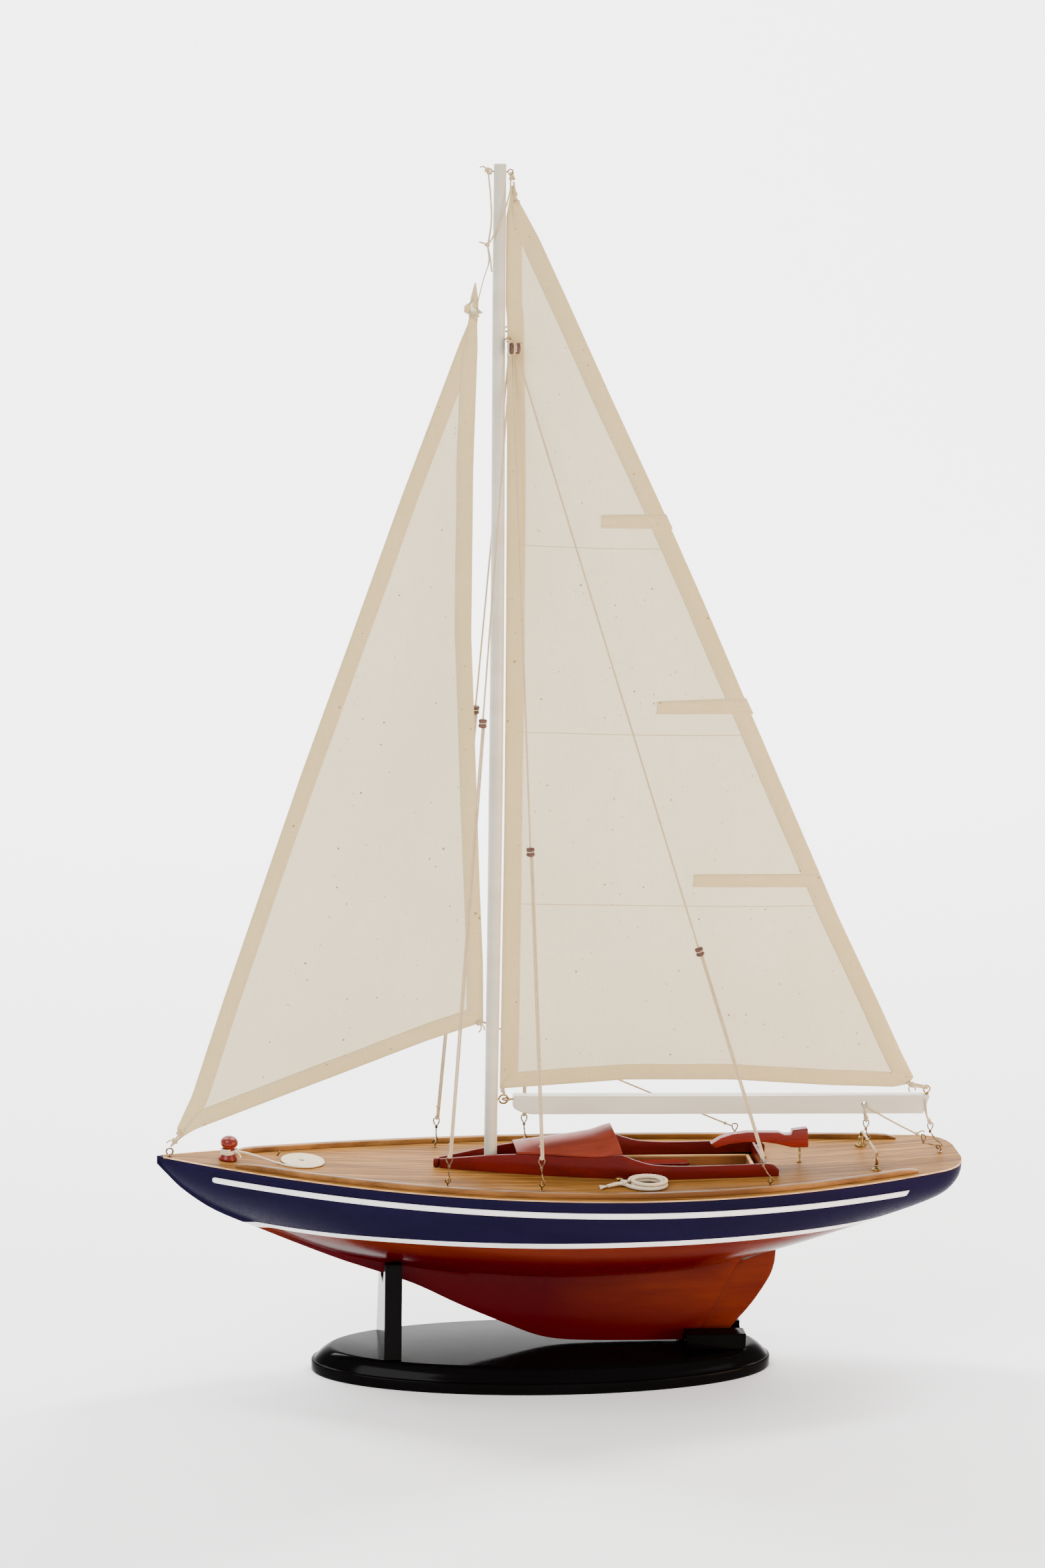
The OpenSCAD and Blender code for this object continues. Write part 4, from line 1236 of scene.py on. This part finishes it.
def build_mainsail():
    luff = [(luff_x(z), z) for z in (152.4, 200, 250, 300, 350, 400, 450, 500, 549, 557, 600)]
    luff += [(-34.6, 610), (-34.0, 615.4)]
    leech = [(191.5, 157), (184.4, 170), (172, 195), (146.5, 245), (134.8, 270), (97.6, 349), (70, 408),
             (44.8, 460), (17.6, 514), (-5, 560), (-20, 590), (-28.2, 604), (-32.4, 611),
             (-33.4, 615.4)]
    foot = [luff[0], (luff[0][0] + 6, 152.9), (39, 156.7), (95, 156.5), (113, 155.3), (147, 153),
            (181, 151.8), (189, 153.4), (191.5, 157)]
    sail = Sail(luff, leech, foot, main_relief)
    main = cloth_piece("mainsail_cloth", sail.surface(110, 220), "sail", "boom", cad="mainsail")

    def luff_width(t):
        return 9.3 - 9.6 * max(t - 0.75, 0)

    edges = ((sail.luff, luff_width, 150, 0.26), (sail.leech, 9.0, 170, 0.36),
             (sail.foot, 8.2, 90, 0.46))
    parts, seams = hemmed(sail, (30, 300), edges)
    # The hems, pockets and seam lines take the hem look, whose darker tan is painted shade
    hems = cloth_piece("mainsail_hems", parts, "hem", "boom", 0)
    pockets = []
    for (x0, z0), (x1, z1), deep, more in (((16.4, 452.2), (49.0, 453.2), 6.8, 0.8),
                                           ((48.5, 356.8), (94.0, 359.0), 6.8, 1.6),
                                           ((71, 266.2), (136.0, 266.8), 6.8, 0.4)):
        low_z = z1 - deep - more
        corners = ((x0, z0 - deep), (x1 + (z1 - low_z) * 0.5, low_z), (x1, z1), (x0, z0))
        shape, low, high = patch(sail, corners, 0.42)
        pockets.append(shape)
        seams += [low, high]
    pocket = cloth_piece("batten_pockets", pockets, "hem", "boom", 0)
    lines = []
    for z, x1 in ((436.6, 56), (340.6, 100), (250.8, 141)):
        x0 = luff_x(z) + 6
        n = 60
        row = [sail.lift(Vector((x0 + (x1 - x0) * i / n, z - 1.5 * sin(2.4 * i / n))), -0.16)
               for i in range(n + 1)]
        lines.append(tube(row, 0.16, 6))
    ridge = piece("mainsail_seams", lines, "hem", "boom")
    thread = piece("mainsail_stitches", [stitches(sail, s) for s in seams], "thread", "boom")
    declare(sail)


def build_jib():
    luff = [(-190.4, 127.4), (-193.0, 131.4), (-185.2, 149.5), (-169.8, 200.3), (-132.4, 318),
            (-104.8, 400), (-84.8, 460), (-57.4, 538), (-53, 549), (-52.6, 552), (-53.2, 556),
            (-52.8, 560), (-50.9, 567.4)]
    leech = [(-36.4, 188.2), (-37.4, 219), (-40.2, 260), (-45, 340), (-48, 390), (-49.4, 476),
             (-48.9, 536), (-49.6, 549), (-49.8, 552), (-49.0, 556), (-49.6, 561), (-50.7, 567.4)]
    foot = [(-190.4, 127.4), (-183.5, 131.6), (-65.2, 178.1), (-36.4, 188.2)]
    sail = Sail(luff, leech, foot, jib_relief)
    jib = cloth_piece("jib_cloth", sail.surface(80, 200), "sail", "boat", cad="jib")

    def side_width(t):
        return 8.2 - 5.6 * clamp((t - 0.95) / 0.04, 0, 1)

    edges = ((sail.luff, side_width, 160, 0.26), (sail.leech, side_width, 160, 0.36),
             (sail.foot, 8.8, 70, 0.46))
    parts, seams = hemmed(sail, (-80, 260), edges)
    hems = cloth_piece("jib_hems", parts, "hem", "boat", 0)
    thread = piece("jib_stitches", [stitches(sail, s) for s in seams], "thread")
    declare(sail)


def build_jib_gear():
    build_halyard()
    build_tack_tie()
    build_jib_sheet()


def build_halyard():
    leader = [(-44.6, -0.8, 576.6), (-47, -0.8, 568.6), (-49.6, -0.8, 557.2)]
    head = [knot((-45.4, -0.4, 586.3), 1.0, 0.5, (0.4, 1, 0.3)), tube(curve_points(leader, 0.8), 0.3, 8),
            wraps((-51.3, 0, 551.2), (0.05, 0, 1), 1.9, 3.2, 0.5),
            knot((-49.6, -1.6, 551.4), 0.8, 0.45, (0, 1, 0))]
    head += cords(0.45,
                  [(-46, 0, 622.2), (-44.6, -1.4, 610), (-43.9, -1.8, 598), (-45, -0.8, 587)],
                  [(-34.8, 0, 620.6), (-35.4, -3.4, 612), (-39, -4.1, 600), (-43.2, -2.6, 590),
                   (-45.2, -0.6, 586.5)],
                  [(-45.4, -0.4, 586.3), (-44.4, -0.8, 580), (-44.6, -0.8, 576.6)],
                  [(-45.6, -0.4, 586.3), (-47.4, -0.8, 587), (-49.6, -0.6, 587.6)])
    head += cords(0.42, [(-45.4, -0.4, 586.3), (-43.9, -1.2, 580), (-43.2, -1, 575), (-42.8, -0.4, 573)])
    piece("head_halyard", head, "cord", cad="jib_halyard")
    top = [knot((-46.4, -0.2, 622.7), 1.1, 0.45, (0.2, 1, 0)),
           knot((-34, -0.4, 619.2), 1.3, 0.5, (0, 1, 0.2)),
           wraps((-45, 0, 622.4), (0, 1, 0), 0.8, 1.3, 0.42),
           wraps((-34.5, 0, 620.9), (0, 1, 0), 0.8, 1.3, 0.45),
           cord([(-46.6, 0, 622.9), (-48.4, -0.3, 624.4), (-50.2, -0.3, 624)], 0.42)]
    piece("masthead_knots", top, "cord")


def build_tack_tie():
    tack = [knot((-193.8, -0.3, 125.5), 1.4, 0.55, (1, 1, 1)),
            wraps((-191.3, 0, 128.9), (0.75, 0, 0.66), 1.7, 2.6, 0.5),
            cord([(-193.9, -0.4, 125.3), (-196.2, -0.9, 125.9), (-198.2, -1, 124.6)], 0.42)]
    tack += cords(0.55, [(-191.6, -0.3, 128.8), (-193.9, -0.5, 125.9), (-195.7, -0.3, 122.9)],
                  [(-190.6, 0.3, 127.8), (-193, 0.6, 124.9), (-195.9, 0.4, 122.2)])
    piece("tack_tie", tack, "cord", cad="jib_tack_tie")


def build_jib_sheet():
    clew, bend = (-36.9, 1.2, 187.6), Vector((-31.5, 4.9, 185))
    hook_at = Vector((104.7, 37.2, 118.5))
    end = along(hook_at, bend, 2.0)
    slack = [bend.lerp(end, 0.3) - Vector((0, 0, 0.6)), bend.lerp(end, 0.65) - Vector((0, 0, 0.5))]
    parts = [cord([clew, (-34.6, 3.6, 186.4), bend, *slack, end]),
             wraps((-38.4, 0.2, 187.8), (0.4, 0, -1), 1.3, 2.6, 0.45),
             knot(along(end, bend, 4.2), 0.75, 0.42, (1, 0.2, -0.5))]
    parts += cords(0.42, [(-37.6, -0.6, 187.2), (-37.4, -1.4, 184.6), (-38.6, -1.3, 182.9)],
                   [(-37.2, -0.5, 187.4), (-35.9, -1.7, 185.7), (-35.7, -1.8, 184.2)])
    piece("jib_sheet_cord", parts, "cord", cad="jib_sheet")
    hook = wire_hook(hook_at, (110.3, 37.5, sheer(110.5) + 2.8), 1.7)
    piece("jib_sheet_wire", hook, "wire", cad="jib_sheet_hook")


# ---- Boom and what swings on it ----
BOOM_X = GOOSE_X + 5.2
BOOM_Z = 143.9
BOOM_HALF = 4.9
BOOM_TILT = radians(0.3)


def boom_point(x, z):
    c, s = cos(BOOM_TILT), sin(BOOM_TILT)
    return (BOOM_X + x * c + z * s, BOOM_Z + z * c - x * s)


def build_boom():
    h, length = BOOM_HALF, 220
    outline = [(0, h), (0, -1.4), (2.4, -2.9), (5.2, -4.2), (9, -h), (length - 3, -h), (length, h)]
    outline = [boom_point(x, z) for x, z in outline]
    paint_on = LOOKS["spar"][0]
    obj = mesh_object("boom_spar", extruded(outline, -3, 3), paint_on, smooth=False)
    hole = mesh_object("hole", lathe([(1.5, -8), (1.5, 8)], (165.4, 0, 143), (0, 1, 0), 28), paint_on)
    cut = obj.modifiers.new("cut", "BOOLEAN")
    cut.object = hole
    cut.solver = "EXACT"
    bpy.context.view_layer.update()
    solid = obj.evaluated_get(bpy.context.evaluated_depsgraph_get())
    mesh = bpy.data.meshes.new_from_object(solid)
    obj.modifiers.clear()
    obj.data = mesh
    bpy.data.objects.remove(hole)
    round_edges(obj, 0.8, angle=40)
    placed(obj, "boom", "boom")
    pivot = GOOSE_X + 1.8
    path = [Vector((BOOM_X + 1.5, 0, GOOSE_Z)), Vector((pivot + 2.3, 0, GOOSE_Z))]
    path += ring_path((pivot, 0, GOOSE_Z), 2.1, (1, 0, -0.02), (0, 1, 0), 8, 335, 30)
    piece("boom_ring", tube(path, 0.48, 8), "brass", "boom", cad="boom_eye")
    top = BOOM_Z + BOOM_HALF - 1.0
    parts = [screw_eye((199, 0, top), 1.8, 0.4, 0.8, 10, gap=30), flat_collar((199, 0, top + 0.2), 1.2)]
    piece("clew_screw_eye", parts, "brass", "boom", cad="clew_eye")
    ties = [knot((-32.4, -0.6, 611.4), 1.1, 0.45, (0.2, 1, 0)),
            wraps((-31.4, 0, 607.6), (-0.3, 0, 1), 1.2, 1.6, 0.42),
            knot((190.4, -1.1, 153.2), 1.4, 0.55, (0.6, 1, 0)),
            knot((198, -0.7, 151.7), 1.3, 0.5, (0, 1, 0.3)),
            knot((-25, -1, 151.4), 1.0, 0.45, (0.3, 1, 0))]
    ties += cords(0.58,
                  [(188.4, -0.9, 154.2), (192.5, -0.9, 152.4), (197.6, -0.6, 151.2),
                   (198.6, -0.3, 150.9)],
                  [(188.4, 0.9, 154.4), (192.5, 0.9, 153), (197.8, 0.6, 151.8), (199.2, 0.2, 151.3)])
    ties += cords(0.45, [(-32.2, 0, 608.8), (-32.8, -0.8, 612.6), (-33.4, -0.7, 617.4)],
                  [(-31.6, 0.5, 608.4), (-32.2, 0.9, 612.4), (-33, 0.5, 617)],
                  [(-25.9, -0.7, 153.8), (-25.7, -1.1, 151.4), (-24.3, -0.8, 149.3)],
                  [(-25.4, 0.7, 153.8), (-24.9, 0.8, 151.4), (-23.6, 0.5, 149.2)])
    ties += cords(0.42, [(190, -1.2, 153), (188.9, -1.9, 151.2), (189.6, -2.1, 149.6)],
                  [(190.8, -1.2, 153), (192.4, -2, 151.6), (192.3, -2.1, 150.2)])
    piece("mainsail_ties", ties, "cord", "boom", cad="main_ties")


def build_sheets():
    stern = Vector((208, 0, sheer(208) + 2.5))
    hooks = [wire_hook((202, 0, 129.8), stern + Vector((-0.8, 0, 0.4)), 1.7),
             wire_hook((198.1, -2.2, 124.3), stern + Vector((-1.4, -0.5, 0.2)), 1.5, (0.9, 0.1, -0.4)),
             wire_hook((167.5, 0, 131.6), (168.6, 0, 123.2), 1.8)]
    piece("sheet_wire_hooks", hooks, "wire", cad="sheet_hooks")
    # Each sheet: its piece, its CAD node, its fixed end, its moving end, its parts
    runs = [
        ("sheet_boom_end", "boom_end_sheet", (202, 0, 130), (198, 0, 139), cords(
            0.5,
            [(197.6, -3.2, 146), (198.4, -3.3, 141), (199.4, -2.2, 136.2), (201.6, -0.6, 131.8)],
            [(197.9, 3.2, 146), (198.9, 3.3, 141), (200, 2, 136), (202, 0.6, 131.8)],
        ) + [knot((201.2, -0.6, 133.2), 0.8, 0.45, (0.3, 1, 0)),
             wraps((202, 0, 131.4), (1, 0, 0), 0.7, 1.3, 0.42)]),
        ("sheet_boom_middle", "boom_mid_sheet", (196, -2.3, 125.8), (172, -3.4, 138.8), cords(
            0.5,
            [(165.6, -2.4, 143), (168, -3.6, 141.4), (175.2, -3.5, 136.9), (186, -2.8, 130.9),
             (196.6, -2.3, 125.4)],
        ) + [knot((194.6, -2.4, 126.6), 0.8, 0.42, (1, 0, -0.5)),
             cord([(194.4, -2.5, 126.8), (196.6, -3.2, 128.4), (198.4, -3.4, 128.2)], 0.4)]),
        ("sheet_traveller", "", (167.5, 0, 132.6), (166, 0, 140), cords(
            0.5,
            [(167.5, -0.6, 133.1), (167, -2.2, 135.6), (166.2, -3.4, 138.8), (165.4, -2.6, 142.6)],
            [(167.5, 0.6, 133.1), (167, 2.2, 135.6), (166.2, 3.4, 138.8), (165.4, 2.6, 142.6)],
        ) + [knot((167.2, -1.2, 135.4), 1.0, 0.45, (0, 1, 0.4)),
             wraps((167.5, 0, 133.3), (1, 0, 0), 0.7, 1.3, 0.42)]),
    ]
    for name, nodes, start, end, parts in runs:
        obj = piece(name, parts, "cord", body=None, cad=nodes)
        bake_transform(obj)


def build_traveller():
    x, half, z = 169.7, 20.5, on_deck(169.7)
    high = 8.6
    path = [Vector((x, -half, z)), Vector((x, -half, z + high - 3))]
    path += [Vector((x, -half + 3 * (1 - cos(a)), z + high - 3 + 3 * sin(a)))
             for a in (radians(15 * k) for k in range(1, 7))]
    path += [Vector((x, y, p.z)) for p in [path[-1]] for y in spaced(-half + 5, half - 5, 3)]
    path += [Vector((p.x, -p.y, p.z)) for p in reversed(path[:8])]
    bell = [(0.02, 0), (2.6, 0), (2.7, 0.4), (2.2, 0.8), (1.5, 1.6), (1.25, 3.2), (1.15, 4.2),
            (0.85, 4.6), (0.02, 4.7)]
    plate = [(0.02, 0), (2.3, 0), (2.3, 0.45), (1.5, 0.7), (1.1, 1.5), (0.02, 1.6)]
    loop = tube(ring_path((x, -half, z + 2.6), 1.45, (1, 0, 0.25), (0, 1, 0), 0, 350), 0.38, 8)
    big = [(r * 1.15, h * 1.15) for r, h in bell]
    parts = [tube(path, 0.72, 12), lathe(plate, (x, -half, z), steps=24), loop,
             lathe(big, (x, half, z), steps=24)]
    piece("traveller_rod", parts, "brass", cad="traveller")


# ---- Deck gear ----
def build_gear():
    x = -166.5
    slope = sheer(x + 0.5) - sheer(x - 0.5)
    ball = [(4.55 * cos(a), 9.0 + 3.5 * sin(a))
            for a in (radians(-50 + 140 * i / 18) for i in range(19))]
    profile = [(0.02, 0), (4.7, 0), (4.75, 0.5), (4.5, 1.1), (3.7, 2.8), (3.1, 4.4), (2.95, 5.4)] + ball
    piece("bitt_post", lathe(profile, (x, 0, sheer(x) + 0.25), (-slope, 0, 1)), "tiller",
          cad="bow_bitt")
    piece("bow_pin", lathe([(0.02, 0), (0.42, 0), (0.42, 2.6), (0.3, 2.9), (0.02, 2.95)],
                           (-140.5, 10.5, on_deck(-140.5)), (0.6, 0, 0.8), 16), "wire")
    nails = [lathe([(0.02, 0), (0.42, 0), (0.42, 3.3), (1.9, 3.4), (2.0, 3.8), (1.2, 4.2),
                    (0.02, 4.25)], (33, -29, on_deck(33)), steps=16)]
    piece("deck_pins", nails, "brass", cad="deck_nails")
    z = on_deck(132.7)
    pin = [(0.02, 0), (1.3, 0), (1.3, 0.35), (0.6, 0.5), (0.6, 119.3 - z), (0.5, 119.4 - z),
           (0.5, 125.1 - z), (0.02, 125.1 - z)]
    piece("tiller_post", lathe(pin, (132.7, 0, z), steps=20), "brass", cad="tiller_pin")


def mooring_path():
    route = curve_points([(-161.5, -1.2, 119.9), (-158, -1.4, 119.3), (-153, -1.9, 117.9),
                          (-148, -2.6, 116.3), (-144, -3.4, 115.0), (-141.6, -4.6, 114.5)], 0.6)
    cx, cy, start = -128, 2, radians(205)
    slope = sheer(-127.5) - sheer(-128.5)
    outer, inner, pitch = 11.5, 1.3, 1.04
    turns = (outer - inner) / pitch
    steps = int(turns * 64)
    coil = []
    for i in range(steps + 1):
        a = start + 2 * pi * turns * i / steps
        lead = 2.4 * max(1 - i / 12, 0) ** 2
        r = outer + lead - (outer - inner) * i / steps
        px, py = cx + r * cos(a), cy + r * sin(a)
        coil.append(Vector((px, py, sheer(cx) + slope * (px - cx) + 0.65)))
    return route + coil


def cleat_rope_path():
    cx, cy = 48, -32
    z = sheer(cx)
    route = curve_points([(26.5, -34, 110.1), (28.5, -33.2, 110.3), (31, -32.6, 110.7),
                          (33.5, -32.2, 110.8), (35.4, -32.2, 110.5)], 0.8)
    coil = []
    turns, steps = 3.0, 210
    for i in range(1, steps + 1):
        t = i / steps
        a = radians(180) + 2 * pi * turns * t
        fold = abs(1 - 2 * t)
        r = 7.3 + 2.7 * fold
        layer = clamp((t - 0.44) / 0.12, 0, 1)
        rise = 1.35 + 2.05 * layer * layer * (3 - 2 * layer)
        r += 1.6 * max(1 - i / 14, 0) ** 2
        coil.append(Vector((cx + r * cos(a), cy + 0.82 * r * sin(a), z + rise)))
    return route + coil


def build_ropes():
    path = mooring_path()
    line = piece("mooring_rope", tube(path, 0.5, 12, 3, 3.2), "rope", cad="mooring_line mooring_coil")
    lash = [wraps((-166.5, 0, 119.5), (0, 0, 1), 3.45, 2.8, 0.55),
            knot((-162.4, -1.3, 119.9), 1.3, 0.55, (1, 0, 0)),
            cord([(-162.2, -0.8, 119.5), (-158.4, 0.1, 118.2), (-154.2, -0.2, 117.0),
                  (-150.6, -1.1, 116.2)], 0.5),
            cord([(-162.4, -2.0, 119.8), (-160.6, -3.4, 118.6), (-160.2, -4.6, 117.2)], 0.45)]
    lashing = piece("bitt_lashing", lash, "rope")
    path = cleat_rope_path()
    line = piece("cleat_rope", tube(path, 1.0, 18, 3, 6), "rope", cad="cleat_rope_tail cleat_rope_coil")
    ends = [knot((35.6, -31.2, 111.2), 1.7, 0.75, (0.2, 0.3, 1))]
    for k in range(9):
        swing = (k - 4) * 0.2
        strand = [(27.2, -33.8, 110.2), (24.6, -34.3 + swing * 1.6, 110.0),
                  (22.4, -34.4 + swing * 3.4, 109.5 + 0.1 * (k % 3))]
        ends.append(tube(curve_points(strand, 0.7), 0.2, 6))
    ends = piece("cleat_rope_ends", ends, "rope")


# ---- Studio ----
def area_light(name, at, toward, size, power, colour=(1, 1, 1)):
    data = bpy.data.lights.new(name, "AREA")
    data.shape = "RECTANGLE"
    data.size, data.size_y = size
    data.energy = power
    data.color = colour
    obj = bpy.data.objects.new(name, data)
    obj.location = at
    turn = (Vector(toward) - Vector(at)).to_track_quat("-Z", "Y")
    obj.rotation_euler = turn.to_euler()
    bpy.context.scene.collection.objects.link(obj)


def build_studio():
    g = Graph("backdrop", Roughness=0.9, Base_Color=(248.153, 248.153, 248.153), Specular_IOR_Level=0.1)
    profile = [(-6000, 0), (-3000, 0), (0, 0), (2000, 0)]
    profile += [(2000 + 1500 * sin(a), 1500 * (1 - cos(a)))
                for a in (radians(9 * k) for k in range(1, 11))]
    profile += [(3500, 4000)]
    shape = grid([[(x, y, z - 0.02) for y, z in profile] for x in (-6000, 6000)])
    mesh_object("studio_floor", shape, g.mat)
    world = bpy.data.worlds.new("studio")
    world.use_nodes = True
    sky = world.node_tree.nodes["Background"]
    sky.inputs["Color"].default_value = (1, 1, 1, 1)
    sky.inputs["Strength"].default_value = 0.8
    bpy.context.scene.world = world
    for side in (-1, 1):
        area_light("backdrop", (side * 1.4, 1.3, 2.6), (side * 0.5, 3.2, 0.2), (1.8, 0.6), 190)
    area_light("key", (-1.6, -1.9, 2.2), (0, 0, 0.25), (1.6, 1.6), 84)
    area_light("fill", (1.9, -1.6, 1.0), (0, 0, 0.25), (1.6, 1.6), 22)
    area_light("top", (0.2, 0.5, 2.4), (0, 0, 0.1), (2.0, 1.4), 44)
    area_light("warm", (1.4, -0.9, 0.14), (0.12, 0, 0.05), (0.6, 0.35), 30, (1.0, 0.5, 0.16))


BUILDERS = (
    build_ropes, build_hull, build_rudder, build_deck, build_rails, build_cabin, build_cockpit,
    build_tiller, build_stand, build_mast, build_eyes, build_stays, build_jib_gear, build_boom,
    build_mainsail, build_jib, build_sheets, build_traveller, build_gear, build_studio)


def build_all():
    add_camera()
    make_looks()
    for build in BUILDERS:
        build()
    # The CAD's own mast step is shown, in the deck's wood
    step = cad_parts["mast_step"].data
    step.materials.clear()
    step.materials.append(LOOKS["deck"][0])


build_all()
